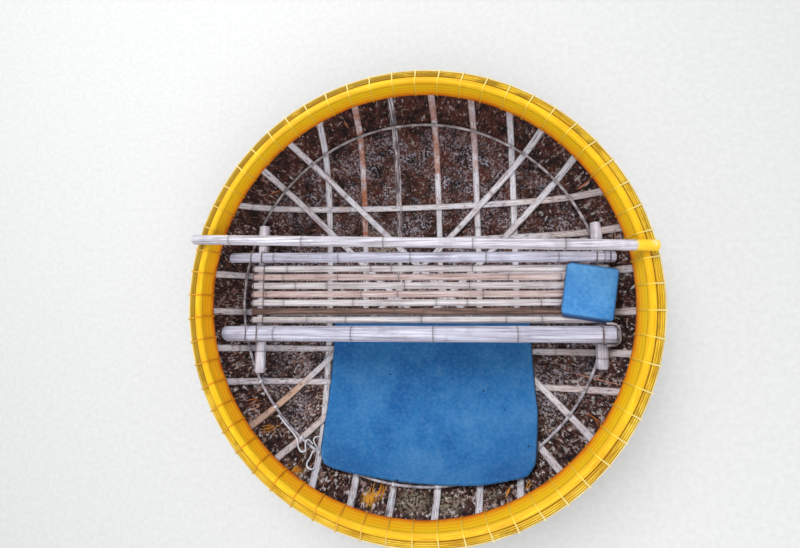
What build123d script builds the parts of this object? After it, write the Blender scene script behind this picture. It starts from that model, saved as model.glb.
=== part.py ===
from build123d import *
import os
from math import atan2, cos, degrees, pi, radians, sin, sqrt, tan

# A round basket boat of woven bamboo: a bowl with a lattice of flat laths inside, a cane hoop
# round the bilge, a laminated and corded rim, a slatted bench and a carrying pole over the rim.
# Millimetres. +X to the right, +Y to the back, +Z up. The origin is the middle of the waterline.

# The bowl
draft = 200.0
bowl_depth = 600.0
mouth_radius = 913.0
wall_lean = 11.0
bilge_radius = 330.0
bottom_radius = 1500.0
hull_thickness = 8.0

# The rim, laid along the leaning wall
strip_width = 62.0
strip_depth = 12.0
inner_strip_count = 4
inner_strip_thickness = 20.0
inner_strip_edge = 4.0
outer_strip_count = 5
outer_strip_thickness = 7.0
outer_strip_gap = 2.2
outer_strip_rise = 9.6
outer_strip_drop = 1.5
cap_height = 18.0
cap_edge = 4.0
cap_inset = 3.5
cap_facets = 5
binding_count = 59
binding_start = 2.5
binding_width = 6.0
binding_thickness = 3.0

# The laths and the hoop
lath_width = 31.0
lath_thickness = 4.0
lath_layer = 6.9
fan_height = 2700.0
hoop_drop = 60.0
hoop_radius = 6.3
hoop_facets = 8
hoop_lashing_width = 14.0
cord_thickness = 2.4
lashing_gap = 0.6

# The bench
bench_height = 205.0
bearer_radius = 24.5
slat_width = 31.0
slat_height = 18.0
slat_edge = 6.0
slat_count = 7
slat_pitch = 38.5
slat_first = 130.0
slat_heading_first = -0.7
slat_heading_last = 0.25
slat_cord = 2.0
slat_overhang = 32.0
pole_end_round = 9.0
strap_gap = 9.5
strap_radius = 5.0

# The carrying pole over the rim
carry_radius = 21.5
carry_overhang = 8.7
carry_end_edge = 4.0
carry_middle = 210.0
carry_heading = -2.1

# The soft pieces
pad_length = 205.0
pad_width = 224.0
pad_thickness = 28.0
pad_corner = 22.0
pad_turn = -9.0
pad_inset = 24.5
pad_middle = 1.5
mat_thickness = 16.0
mat_left = -447.0
mat_right = 556.0
mat_bend_height = 60.0
mat_left_corner = (-420.0, 215.0)
mat_front_middle = (0.0, 148.0)
mat_right_corner = (490.0, 289.0)
mat_back = -90.0
mat_corner = 65.0
bilge_margin = 1.0

# The tied cords
tie_diameter = 6.0
tie_facets = 6
run_share = 0.45

clearance = 0.3
fitting_steps = 30

# Laths: family, heading in degrees, layer from the hull, and how far to the left of the heading their top ends
# are, as shares of the mouth's radius
lath_families = (
    ("along", 90.0, 0, (-0.469, -0.294, -0.105, 0.096, 0.271, 0.451)),
    ("across", 0.0, 1, (-0.406, -0.246, -0.067, 0.116, 0.296, 0.461)),
    ("rising", 45.0, 2, (-0.088, 0.106)),
    ("falling", -45.0, 3, (-0.073, 0.116)),
)

# Bench poles: name, distance behind the middle, heading in degrees, radius, right end's distance in from the wall
bench_poles = (
    ("seat_pole_rear", 178.0, -0.9, 24.0, 14.5),
    ("seat_pole_front", -161.0, 0.3, 36.0, 32.3),
)

# Bearers under the bench: name, side, distance in from the wall, reach to the front and to the back
bearers = (
    ("bearer_left", -1, 141.5, 350.0, 350.0),
    ("bearer_right", 1, 68.5, 305.0, 322.0),
)

# Cords tied to the hoop and the laths at the front left, each with the points of its route
tie_cords = (
    ("tie_cord_1", (
        (-639.4, -551.9, 153.0), (-612.1, -582.9, 154.5), (-582.6, -611.8, 153.5), (-555.4, -638.9, 155.5),
        (-539.5, -656.8, 164.0), (-531.1, -670.1, 180.0), (-521.7, -682.4, 194.0), (-509.4, -693.5, 199.0),
        (-498.2, -698.5, 190.0), (-495.9, -695.3, 175.0), (-501.4, -685.1, 163.0), (-504.3, -666.8, 161.0),
        (-499.0, -655.1, 148.0), (-493.1, -663.9, 134.0), (-480.1, -683.2, 127.5),
    )),
    ("tie_cord_2", (
        (-432.4, -722.5, 129.0), (-444.9, -714.8, 128.0), (-458.1, -704.1, 124.0), (-468.7, -692.3, 117.0),
        (-480.2, -680.7, 111.0), (-485.5, -670.7, 103.0), (-482.6, -664.2, 92.0), (-474.4, -662.7, 82.0),
        (-461.1, -665.9, 75.0), (-446.4, -669.4, 69.0),
    )),
    ("tie_cord_3", (
        (-467.4, -703.5, 153.5), (-468.5, -712.6, 172.0), (-467.1, -721.4, 191.0), (-470.6, -727.0, 210.0),
        (-468.1, -733.4, 229.0), (-462.5, -737.8, 243.0), (-452.0, -742.6, 250.0), (-442.8, -748.2, 246.0),
        (-438.1, -752.8, 234.0), (-437.0, -753.0, 221.0),
    )),
)

rim_height = bowl_depth - draft
lean = radians(wall_lean)
wall_up = (sin(lean), cos(lean))
wall_out = (cos(lean), -sin(lean))
hoop_height = bench_height - hoop_drop
strip_high = -strip_depth
strip_low = strip_high - strip_width
lath_top = rim_height + (strip_low - binding_thickness - 2 * clearance) * cos(lean) - lath_thickness
rim_plane = Plane(origin=(mouth_radius, 0, rim_height), x_dir=(wall_out[0], 0, wall_out[1]), z_dir=(0, -1, 0))


def bowl_centres(lift):
    """Centres of the bottom arc and the bilge arc, with the bottom raised by lift."""
    bottom_z = lift - draft + bottom_radius
    start_r = mouth_radius - bilge_radius * wall_out[0]
    start_z = rim_height - bilge_radius * wall_out[1] - bottom_z
    half_b = -start_r * wall_up[0] - start_z * wall_up[1]
    rest = start_r**2 + start_z**2 - (bottom_radius - bilge_radius) ** 2
    down = -half_b + sqrt(half_b**2 - rest)
    return bottom_z, (start_r - down * wall_up[0], start_z + bottom_z - down * wall_up[1])


def bowl_line(offset, lift, top):
    """Three joined lines parallel to the bowl's inside: bottom arc, bilge arc and straight wall."""
    bottom_z, (bilge_r, bilge_z) = bowl_centres(lift)
    turn = atan2(bilge_z - bottom_z, bilge_r)
    bottom = bottom_radius - offset
    bilge = bilge_radius - offset

    def on_bottom(angle):
        return (bottom * cos(angle), bottom_z + bottom * sin(angle))

    def on_bilge(angle):
        return (bilge_r + bilge * cos(angle), bilge_z + bilge * sin(angle))

    low = on_bottom(-pi / 2)
    knee = on_bottom(turn)
    shoulder = on_bilge(-lean)
    rise = (top - shoulder[1]) / wall_up[1]
    mouth = (shoulder[0] + rise * wall_up[0], top)
    return [
        ThreePointArc(low, on_bottom((turn - pi / 2) / 2), knee),
        ThreePointArc(knee, on_bilge((turn - lean) / 2), shoulder),
        Line(shoulder, mouth),
    ]


def bowl_shell(outer, inner, lift=0.0, top=rim_height):
    """The solid between two lines at these distances inside the bowl's surface."""
    low = bowl_line(outer, lift, top)
    high = bowl_line(inner, lift, top)
    ends = [Line(low[0] @ 0, high[0] @ 0), Line(low[-1] @ 1, high[-1] @ 1)]
    return revolve(Plane.XZ * make_face(low + high + ends), Axis.Z)


def bowl_inside(offset, lift=0.0, top=rim_height):
    """The whole space inside the bowl, kept this far from its surface."""
    line = bowl_line(offset, lift, top)
    mouth = line[-1] @ 1
    ends = [Line(mouth, (0, mouth.Y)), Line((0, mouth.Y), line[0] @ 0)]
    return revolve(Plane.XZ * make_face(line + ends), Axis.Z)


def bowl_spot(offset, height, lift=0.0):
    """Radius of the line at this offset and height, and its outward direction in the same plane."""
    _, (bilge_r, bilge_z) = bowl_centres(lift)
    bilge = bilge_radius - offset
    shoulder_z = bilge_z - bilge * sin(lean)
    if height >= shoulder_z:
        return bilge_r + bilge * cos(lean) + (height - shoulder_z) * tan(lean), -lean
    angle = -atan2(bilge_z - height, sqrt(bilge**2 - (bilge_z - height) ** 2))
    return bilge_r + bilge * cos(angle), angle


def rim_block(out_low, out_high, low, high):
    """A rectangle in the rim's leaning section."""
    width = out_high - out_low
    height = high - low
    return Pos((out_low + out_high) / 2, (low + high) / 2) * Rectangle(width, height)


def rim_ring(face):
    """A ring whose section is drawn in the rim's leaning section."""
    return revolve(rim_plane * face, Axis.Z)


# The woven wall, from under the rim cap down to the bottom
cap_base = strip_high + clearance
hull_top = rim_height + (cap_base - clearance) * cos(lean) - hull_thickness * sin(lean)
hull_shell = bowl_shell(-hull_thickness, 0.0, top=hull_top)

# The rim: strips stacked inside the wall, strips side by side outside it, and a round cap over both
inner_face = -clearance - inner_strip_thickness
strip_pitch = strip_width / inner_strip_count
inner_strips = []
for number in range(inner_strip_count):
    strip_base = strip_low + number * strip_pitch
    strip_top = strip_base + strip_pitch - clearance
    section = Polyline(
        (-clearance, strip_base),
        (-clearance, strip_top),
        (inner_face + inner_strip_edge, strip_top),
        (inner_face, (strip_base + strip_top) / 2),
        (inner_face + inner_strip_edge, strip_base),
        close=True,
    )
    inner_strips.append(rim_ring(make_face(section)))

cap_inner = inner_face - 2 * clearance
cap_outer = hull_thickness + clearance + outer_strip_thickness - cap_inset
cap_middle = (cap_inner + cap_outer) / 2


def cap_arch(gap):
    """Corners of the cap's round back, this far outside it, from the inner side to the outer side."""
    half = (cap_outer - cap_inner) / 2 + gap
    rise = cap_height - cap_edge + gap
    corners = []
    for number in range(cap_facets + 1):
        angle = pi - number * pi / cap_facets
        corners.append((cap_middle + half * cos(angle), cap_base + cap_edge + rise * sin(angle)))
    return corners


cap_section = Polyline(*cap_arch(0.0), (cap_outer, cap_base), (cap_inner, cap_base), close=True)
rim_cap = rim_ring(make_face(cap_section))

outer_strips = []
outer_face = hull_thickness + clearance
for number in range(outer_strip_count):
    strip_out = outer_face + number * (outer_strip_thickness + outer_strip_gap)
    strip_top = strip_high
    if number:
        strip_top += outer_strip_rise - (number - 1) * outer_strip_drop
    block = rim_block(strip_out, strip_out + outer_strip_thickness, strip_low, strip_top)
    outer_strips.append(rim_ring(block))
outer_edge = strip_out + outer_strip_thickness
outer_top = strip_top


# Cord bindings: a flat band over the cap and down both sides, hooked under the strips to the wall
def binding_line(gap):
    """Corners of the band in the rim's section, this far outside the strips and the cap."""
    foot = strip_low - gap
    side = outer_edge + gap
    return [(-clearance, foot), (cap_inner - gap, foot), *cap_arch(gap)[:-1], (side, outer_top + gap), (side, foot),
            (outer_face, foot)]


band = Polyline(*binding_line(clearance), *reversed(binding_line(clearance + binding_thickness)), close=True)
binding = extrude(rim_plane * make_face(band), binding_width / 2, both=True)
bindings = []
for number in range(binding_count):
    bindings.append(Rot(0, 0, binding_start + number * 360 / binding_count) * binding)

# Laths: a strip of each family's layer between two planes. The planes of a family fan out from one line high over
# the bowl, so a straight strip lies flat along the bottom and up the wall.
lath_inside = clearance + lath_thickness
laths = {}
lath_ends = []
for family, heading, layer, shares in lath_families:
    skin = bowl_shell(clearance, lath_inside, lift=layer * lath_layer, top=lath_top)
    for number, share in enumerate(shares):
        distance = share * mouth_radius
        tilt = degrees(atan2(distance, fan_height - lath_top))
        slab = Box(3 * mouth_radius, lath_width, 2 * (fan_height + bowl_depth))
        slab = Rot(0, 0, heading) * Pos(0, 0, fan_height) * Rot(tilt, 0, 0) * slab
        laths[f"lath_{family}_{number + 1}"] = skin & slab
        lath_ends.append((heading, distance * (fan_height - hoop_height) / (fan_height - lath_top)))

# The cane hoop round the bilge, on top of the laths
top_lift = lath_layer * (len(lath_families) - 1)
hoop_offset = lath_inside + clearance + hoop_radius
hoop_reach, hoop_angle = bowl_spot(hoop_offset, hoop_height, top_lift)
hoop_section = Pos(hoop_reach, hoop_height) * Rot(0, 0, degrees(hoop_angle)) * RegularPolygon(hoop_radius, hoop_facets)
chine_hoop = revolve(Plane.XZ * hoop_section, Axis.Z)

# Hoop lashings: a cord staple over the hoop at each end of each lath
hoop_plane = Plane(origin=(hoop_reach, 0, hoop_height), x_dir=(cos(hoop_angle), 0, sin(hoop_angle)),
                   z_dir=(0, -1, 0))


def staple_line(radius):
    """Corners of an arch of this radius round the hoop, with straight ends towards the wall."""
    corners = [(hoop_radius, radius)]
    for number in range(hoop_facets // 2 + 1):
        angle = pi / 2 + number * 2 * pi / hoop_facets
        corners.append((radius * cos(angle), radius * sin(angle)))
    corners.append((hoop_radius, -radius))
    return corners


near = staple_line(hoop_radius + clearance)
far = staple_line(hoop_radius + clearance + cord_thickness)
staple_section = make_face(Polyline(*near, *reversed(far), close=True))
staple = extrude(hoop_plane * staple_section, hoop_lashing_width / 2, both=True)
staples = []
for heading, distance in lath_ends:
    across = degrees(atan2(distance, sqrt(hoop_reach**2 - distance**2)))
    staples.append(Rot(0, 0, heading + across) * staple)
    staples.append(Rot(0, 0, heading + 180 - across) * staple)

# The carrying pole lies on the rim cap
carry_height = rim_cap.bounding_box().max.Z + clearance + carry_radius
carry_reach = mouth_radius + carry_overhang
carry_pole = (Pos(0, carry_middle, carry_height) * Rot(0, 0, carry_heading) * Rot(0, 90, 0)
              * Cylinder(carry_radius, 2 * carry_reach))
carry_pole = chamfer(carry_pole.edges().filter_by(GeomType.CIRCLE), carry_end_edge)

# The bench: two bearers from wall to wall, poles and slats across them
bench_room = bowl_inside(lath_inside + clearance, top_lift)
pole_room = bowl_inside(clearance)
bench_reach, _ = bowl_spot(lath_inside + clearance, bench_height, top_lift)
bench = {}
bearer_places = []
for name, side, inset, front_reach, back_reach in bearers:
    place = side * (bench_reach - inset)
    bearer_places.append(place)
    pole = Rot(90, 0, 0) * Cylinder(bearer_radius, front_reach + back_reach)
    pole = Pos(place, (back_reach - front_reach) / 2, bench_height - bearer_radius) * pole
    bench[name] = pole & bench_room
bearer_first, bearer_last = bearer_places

pole_length = 2 * mouth_radius
for name, place, heading, radius, end_inset in bench_poles:
    pole = (Pos(0, place, bench_height + clearance + radius) * Rot(0, 0, heading) * Rot(0, 90, 0)
            * Cylinder(radius, pole_length))
    keep = Pos(bench_reach - end_inset - pole_length / 2, 0, 0) * Box(pole_length, pole_length, pole_length)
    pole = pole & pole_room & keep
    bench[name] = fillet(pole.edges().sort_by(Axis.X)[-1], pole_end_round)

slat_start = bearer_first - slat_overhang
slat_end = bearer_last + slat_overhang
half_slat = slat_width / 2
slat_section = make_face([
    ThreePointArc((-half_slat, slat_edge), (0, slat_height), (half_slat, slat_edge)),
    *Polyline((half_slat, slat_edge), (half_slat, 0), (-half_slat, 0), (-half_slat, slat_edge)).edges(),
])
slat = Pos(slat_start, 0, 0) * extrude(Plane.YZ * slat_section, slat_end - slat_start)
slat_places = []
for number in range(slat_count):
    place = slat_first - number * slat_pitch
    heading = slat_heading_first + (slat_heading_last - slat_heading_first) * number / (slat_count - 1)
    slat_places.append((place, heading))
    bench[f"slat_{number + 1}"] = Pos(0, place, bench_height + clearance) * Rot(0, 0, heading) * slat


def square_lashing(half_across, top, half_along, bottom, cord, gap):
    """One closed turn of cord: over the upper piece, down its sides and under the lower piece."""
    half = cord / 2
    x = half_across + gap + half
    y = half_along + gap + half
    high = top + clearance + half
    low = -bottom - clearance - half
    corners = [(x, -y, high), (x, y, high), (x, y, low), (-x, y, low), (-x, y, high), (-x, -y, high),
               (-x, -y, low), (x, -y, low)]
    turn = None
    for here, after in zip(corners, corners[1:] + corners[:1]):
        size = [abs(b - a) + cord for a, b in zip(here, after)]
        middle = [(a + b) / 2 for a, b in zip(here, after)]
        leg = Pos(*middle) * Box(*size)
        turn = leg if turn is None else turn + leg
    return turn


# Lashings: where each pole and each slat crosses a bearer
pole_lashings = []
for bearer_place in bearer_places:
    for pole_name, place, heading, radius, _ in bench_poles:
        at = place + bearer_place * tan(radians(heading))
        turn = square_lashing(bearer_radius, 2 * radius, radius, 2 * bearer_radius, cord_thickness, lashing_gap)
        pole_lashings.append(Pos(bearer_place, at, bench_height + clearance) * Rot(0, 0, heading) * turn)

slat_lashings = []
for bearer_place in bearer_places:
    for place, heading in slat_places:
        at = place + bearer_place * tan(radians(heading))
        turn = square_lashing(bearer_radius, slat_height, half_slat, 2 * bearer_radius, slat_cord, clearance)
        slat_lashings.append(Pos(bearer_place, at, bench_height + clearance) * Rot(0, 0, heading) * turn)

# A bent cane round the end of the front pole, held by the pole's lashing and standing on the bearer in front
_, front_place, front_heading, front_radius, front_inset = bench_poles[1]
front_pole_end = bench_reach - front_inset
strap_height = bench_height + clearance + front_radius
strap_x = front_pole_end + strap_gap + strap_radius
strap_y = front_place + front_pole_end * tan(radians(front_heading))
strap_half = front_radius + lashing_gap + cord_thickness + clearance + strap_radius
strap_root = bearer_last
strap_line = FilletPolyline(
    (strap_root, strap_y + strap_half, strap_height),
    (strap_x, strap_y + strap_half, strap_height),
    (strap_x, strap_y - strap_half, strap_height),
    (strap_root, strap_y - strap_half, strap_height),
    (strap_root, strap_y - strap_half, bench_height + clearance),
    radius=pole_end_round + clearance + strap_radius,
)
end_strap = sweep(Plane(strap_line @ 0, z_dir=strap_line % 0) * RegularPolygon(strap_radius, hoop_facets), strap_line)

# The foam seat pad on the right end of the slats
pad_block = Box(pad_length, pad_width, pad_thickness, align=(Align.MAX, Align.CENTER, Align.MIN))
pad_block = fillet(pad_block.edges().filter_by(Axis.Z), pad_corner)
pad_place = (bench_reach - pad_inset, pad_middle, bench_height + slat_height + slat_cord + 3 * clearance)
seat_pad = Pos(*pad_place) * Rot(0, 0, pad_turn) * pad_block

# The foam floor mat follows the bowl over laths and hoop and climbs the front wall
hoop_room = hoop_radius + cord_thickness + 2 * clearance + bilge_margin
mat_outer = hoop_offset + hoop_radius
for _ in range(fitting_steps):
    mat_lift = top_lift + lath_inside + clearance - mat_outer
    mat_reach, mat_angle = bowl_spot(mat_outer, hoop_height, mat_lift)
    mat_outer += hoop_room - (hoop_reach - mat_reach) * cos(mat_angle)
mat_skin = bowl_shell(mat_outer, mat_outer + mat_thickness, lift=mat_lift, top=rim_height)
mat_sides = Polyline(mat_right_corner, (mat_right, mat_bend_height), (mat_right, -draft), (mat_left, -draft),
                     (mat_left, mat_bend_height), mat_left_corner)
mat_edge = ThreePointArc(mat_left_corner, mat_front_middle, mat_right_corner)
mat_view = make_face(list(mat_sides.edges()) + [mat_edge])
mat_corners = mat_view.vertices().sort_by(Axis.Y)[-2:]
mat_view = fillet(mat_corners, mat_corner)
mat_prism = Pos(0, mat_back, 0) * extrude(Plane.XZ * mat_view, mouth_radius)
floor_mat = mat_skin & mat_prism


def tie_tube(points):
    """A tube along straight runs joined by arcs that are as large as the runs allow."""
    spots = [Vector(*point) for point in points]
    radii = []
    for before, corner, after in zip(spots, spots[1:], spots[2:]):
        run = min((corner - before).length, (after - corner).length)
        turn = radians((corner - before).get_angle(after - corner))
        radii.append(run_share * run / tan(turn / 2))
    line = FilletPolyline(*spots, radius=radii)
    section = RegularPolygon(tie_diameter / 2, tie_facets)
    tube = sweep(Plane(line @ 0, z_dir=line % 0) * section, line)
    share = tube.volume / (section.area * line.length)
    print("cord of", round(line.length), "mm, arcs from", round(min(radii), 1), "mm, volume share", round(share, 3))
    return tube


ties = {}
for name, points in tie_cords:
    ties[name] = tie_tube(points)

pieces = {
    "hull_shell": hull_shell,
    "rim_inner_strips": Compound(inner_strips),
    "rim_cap": rim_cap,
    "rim_outer_strips": Compound(outer_strips),
    "rim_bindings": Compound(bindings),
    **laths,
    "chine_hoop": chine_hoop,
    "hoop_lashings": Compound(staples),
    **ties,
    "carry_pole": carry_pole,
    **bench,
    "pole_lashings": Compound(pole_lashings),
    "slat_lashings": Compound(slat_lashings),
    "end_strap": end_strap,
    "seat_pad": seat_pad,
    "floor_mat": floor_mat,
}

os.makedirs("parts", exist_ok=True)
for name, shape in pieces.items():
    export_step(shape, f"parts/{name}.step")
print(len(pieces), "nodes, carrying pole at height", round(carry_height, 1), "hoop radius", round(hoop_reach, 1),
      "mat", round(mat_outer, 2), "mm inside the wall")
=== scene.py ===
import random
from math import asin, atan2, copysign, cos, degrees, hypot, pi, radians, sin, sqrt, tan

import bpy
from mathutils import Matrix, Vector, noise


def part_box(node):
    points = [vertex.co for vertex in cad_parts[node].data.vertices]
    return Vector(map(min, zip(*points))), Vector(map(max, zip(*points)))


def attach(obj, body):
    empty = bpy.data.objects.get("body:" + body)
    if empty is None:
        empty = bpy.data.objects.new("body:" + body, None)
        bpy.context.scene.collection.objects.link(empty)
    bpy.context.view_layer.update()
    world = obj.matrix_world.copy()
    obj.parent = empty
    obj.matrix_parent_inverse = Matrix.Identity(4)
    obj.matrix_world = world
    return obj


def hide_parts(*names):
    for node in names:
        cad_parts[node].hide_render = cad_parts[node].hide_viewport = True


# Looks of a round basket boat. Metres, with the origin in the middle of the waterline.
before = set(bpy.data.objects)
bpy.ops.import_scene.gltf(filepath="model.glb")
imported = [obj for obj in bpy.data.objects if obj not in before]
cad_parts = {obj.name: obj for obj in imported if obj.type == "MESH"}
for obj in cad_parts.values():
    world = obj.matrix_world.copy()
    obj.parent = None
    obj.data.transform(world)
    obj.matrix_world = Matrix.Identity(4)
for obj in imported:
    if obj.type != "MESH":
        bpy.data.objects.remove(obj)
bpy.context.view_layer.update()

# The bowl, as in the part
draft = 0.200
bowl_depth = 0.600
mouth_radius = 0.913
lean = radians(11.0)
bilge_radius = 0.330
bottom_radius = 1.500
hull_thickness = 0.008
rim_height = bowl_depth - draft
clearance = 0.0003
spin_steps = 240
fibre_count = 1800
fibre_steps = 4
fibre_lengths = (0.010, 0.014, 0.020, 0.034)
fibre_top = 0.33
fibre_rise = 0.0018

# The rim's section: distances out and up from the mouth, along the leaning wall
strip_low = -0.074
strip_high = -0.012
inner_strip_count = 4
inner_strip_thickness = 0.020
outer_strip_count = 5
outer_strip_thickness = 0.007
outer_strip_gap = 0.0022
outer_strip_rise = 0.0096
outer_strip_drop = 0.0015
cap_height = 0.018
cap_edge = 0.004
cap_inner = -0.0209
cap_outer = 0.0118
binding_count = 59
binding_start = 2.5
binding_cord = 0.0029

# Laths and hoop
lath_width = 0.031
lath_thickness = 0.004
lath_layer = 0.0069
lath_inside = clearance + lath_thickness
lath_middle = clearance + lath_thickness / 2
fan_height = 2.700
lath_step = 0.014
lath_joint_pitch = 0.27
hoop_height = 0.145
hoop_radius = 0.0063
lashing_cord = 0.0024

# Laths: family, heading in degrees, layer, and distances to the left in shares of the mouth's radius
lath_families = (
    ("along", 90.0, 0, (-0.469, -0.294, -0.105, 0.096, 0.271, 0.451)),
    ("across", 0.0, 1, (-0.406, -0.246, -0.067, 0.116, 0.296, 0.461)),
    ("rising", 45.0, 2, (-0.088, 0.106)),
    ("falling", -45.0, 3, (-0.073, 0.116)),
)
top_lift = lath_layer * (len(lath_families) - 1)

# Where pitch or a brown stain covers a lath: name, lowest distance to the back, pitch, brown, pitch in front
lath_stains = {
    "along_4": (0.30, 0.80, 0.35, 0.55),
    "along_5": (0.35, 0.15, 0.95, 0.35),
    "along_3": (0.66, 0.10, 0.80, 0.05),
    "along_2": (0.66, 0.10, 0.55, 0.05),
    "across_3": (-2.0, 0.20, 0.25, 0.15),
}
light_stain = 0.15

# How tan the left and right ends of a lath or a family are
lath_tans = {"rising_2": (0.9, 0.0), "rising_1": (0.35, 0.0), "across": (0.1, 0.35), "falling": (0.1, 0.15)}

# The bench
bench_height = 0.205
bearer_radius = 0.0245
strap_radius = 0.005
strap_bend = 0.030
strap_leg_bend = 0.012
slat_width = 0.031
slat_height = 0.018
slat_edge = 0.006
slat_count = 7
slat_pitch = 0.0385
slat_first = 0.130
slat_headings = (-0.7, 0.25)
slat_cord = 0.002
slat_joint_pitch = 0.30
pad_length = 0.205
pad_width = 0.224
pad_thickness = 0.028
pad_corner = 0.022
pad_turn = -9.0
pad_droop = 0.008
pad_sink = 0.0008
pad_dent = 0.0022

# How deep the pad's top falls, and from how far, towards its border and once more towards its front edge
pad_border = (0.0025, 0.022)
pad_front = (0.0080, 0.012)

# Cross poles: node, distance to the back of the middle, radius, heading in degrees, joints from the left end
seat_pole_end_round = 0.009
seat_poles = (
    ("seat_pole_rear", 0.178, 0.024, -0.9, (0.22, 0.53, 0.86, 1.19, 1.49, 1.672)),
    ("seat_pole_front", -0.161, 0.036, 0.3, (0.25, 0.61, 0.97, 1.32, 1.655)),
)
bearer_joints = {"bearer_left": (0.10, 0.36, 0.60), "bearer_right": (0.045, 0.31, 0.55)}
carry_radius = 0.0215
carry_heading = -2.1
carry_joints = (0.17, 0.49, 0.83, 1.18, 1.52, 1.80)

# Outline of a joint: distance from it along the pole or slat, and the share of the full size there
pole_body = 0.965
pole_joint = ((-0.020, pole_body), (-0.006, 0.985), (-0.002, 0.998), (0.0, 0.955), (0.003, 0.985),
              (0.020, pole_body))
slat_joint = ((-0.018, 0.975), (-0.003, 1.0), (0.0, 0.95), (0.003, 0.99), (0.018, 0.975))
joint_margin = 0.03
groove_reach = 0.004

# The mat
mat_columns = 88
mat_rows = 76
mat_left = -0.447
mat_right = 0.556
mat_bend_height = 0.060
mat_left_corner = (-0.420, 0.215)
mat_front_middle = (0.0, 0.148)
mat_right_corner = (0.490, 0.289)
mat_back = -0.090
mat_corner = 0.065
mat_thickness = 0.016
mat_step = 0.004
bilge_margin = 0.001

# The cords tied at the front left, with the points of their routes
tie_diameter = 0.006
tie_turn = 0.022
tie_routes = {
    "tie_cord_1": (
        (-0.6394, -0.5519, 0.1530), (-0.6121, -0.5829, 0.1545), (-0.5826, -0.6118, 0.1535),
        (-0.5554, -0.6389, 0.1555), (-0.5395, -0.6568, 0.1640), (-0.5311, -0.6701, 0.1800),
        (-0.5217, -0.6824, 0.1940), (-0.5094, -0.6935, 0.1990), (-0.4982, -0.6985, 0.1900),
        (-0.4959, -0.6953, 0.1750), (-0.5014, -0.6851, 0.1630), (-0.5043, -0.6668, 0.1610),
        (-0.4990, -0.6551, 0.1480), (-0.4931, -0.6639, 0.1340), (-0.4801, -0.6832, 0.1275),
    ),
    "tie_cord_2": (
        (-0.4324, -0.7225, 0.1290), (-0.4449, -0.7148, 0.1280), (-0.4581, -0.7041, 0.1240),
        (-0.4687, -0.6923, 0.1170), (-0.4802, -0.6807, 0.1110), (-0.4855, -0.6707, 0.1030),
        (-0.4826, -0.6642, 0.0920), (-0.4744, -0.6627, 0.0820), (-0.4611, -0.6659, 0.0750),
        (-0.4464, -0.6694, 0.0690),
    ),
    "tie_cord_3": (
        (-0.4674, -0.7035, 0.1535), (-0.4685, -0.7126, 0.1720), (-0.4671, -0.7214, 0.1910),
        (-0.4706, -0.7270, 0.2100), (-0.4681, -0.7334, 0.2290), (-0.4625, -0.7378, 0.2430),
        (-0.4520, -0.7426, 0.2500), (-0.4428, -0.7482, 0.2460), (-0.4381, -0.7528, 0.2340),
        (-0.4370, -0.7530, 0.2210),
    ),
}

# The camera, in the boat's frame
camera_place = (0.176, -0.061, 1.908)
camera_tip = radians(5.55)
camera_roll = radians(-7.76)
camera_lens = 17.1
camera_sensor = 36.0

# The light: the sky, then each lamp's name, place, size and power
sky_colour = (0.95, 0.97, 1.0, 1.0)
sky_strength = 0.60
lamps = (
    ("key", (-1.6, 3.2, 5.2), 3.4, 250.0),
    ("fill", (1.6, -3.6, 4.4), 4.0, 135.0),
)


# Small sums
def clamped(value):
    """The value, held between 0 and 1."""
    return max(0.0, min(1.0, value))


def arc(x, y, radius, first, last, steps, rise=None):
    """Points (x, y) along an arc from one angle to another, round or with a rise of its own."""
    angles = [first + (last - first) * step / steps for step in range(steps + 1)]
    return [(x + radius * cos(angle), y + (rise or radius) * sin(angle)) for angle in angles]


def turned(angle):
    """A turn round the upright axis, in degrees."""
    return Matrix.Rotation(radians(angle), 4, "Z")


# The bowl's shape
def bowl_shape(lift=0.0):
    """Height of the bottom arc's centre, radius and height of the bilge arc's, and the angle where they meet.

    The lift raises the bottom and leaves the mouth in place.
    """
    bottom_z = lift - draft + bottom_radius
    start_r = mouth_radius - bilge_radius * cos(lean)
    start_z = rim_height + bilge_radius * sin(lean) - bottom_z
    half_b = -start_r * sin(lean) - start_z * cos(lean)
    rest = start_r**2 + start_z**2 - (bottom_radius - bilge_radius) ** 2
    down = -half_b + sqrt(half_b**2 - rest)
    bilge_r = start_r - down * sin(lean)
    bilge_z = start_z + bottom_z - down * cos(lean)
    return bottom_z, bilge_r, bilge_z, atan2(bilge_z - bottom_z, bilge_r)


def bowl_radius(height, inset=0.0, lift=0.0):
    """Radius of the surface this far inside the bowl at a height above its bottom arc."""
    _, bilge_r, bilge_z, _ = bowl_shape(lift)
    bilge = bilge_radius - inset
    shoulder_z = bilge_z - bilge * sin(lean)
    if height >= shoulder_z:
        return bilge_r + bilge * cos(lean) + (height - shoulder_z) * tan(lean)
    return bilge_r + sqrt(bilge**2 - (bilge_z - height) ** 2)


def bowl_height(radius, inset=0.0, lift=0.0):
    """Height of the surface this far inside the bowl at a distance from the middle."""
    bottom_z, bilge_r, bilge_z, turn = bowl_shape(lift)
    bottom = bottom_radius - inset
    bilge = bilge_radius - inset
    shoulder_r = bilge_r + bilge * cos(lean)
    if radius <= bottom * cos(turn):
        return bottom_z - sqrt(bottom**2 - radius**2)
    if radius <= shoulder_r:
        return bilge_z - sqrt(bilge**2 - (radius - bilge_r) ** 2)
    return bilge_z - bilge * sin(lean) + (radius - shoulder_r) / tan(lean)


def bowl_inward(place, lift=0.0):
    """Direction away from the bowl's wall at a place on it."""
    bottom_z, bilge_r, bilge_z, turn = bowl_shape(lift)
    radius = hypot(place.x, place.y)
    angle = atan2(place.z - bottom_z, radius)
    if angle > turn:
        angle = min(atan2(place.z - bilge_z, radius - bilge_r), -lean)
    around = atan2(place.y, place.x)
    return Vector((-cos(angle) * cos(around), -cos(angle) * sin(around), -sin(angle)))


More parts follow.
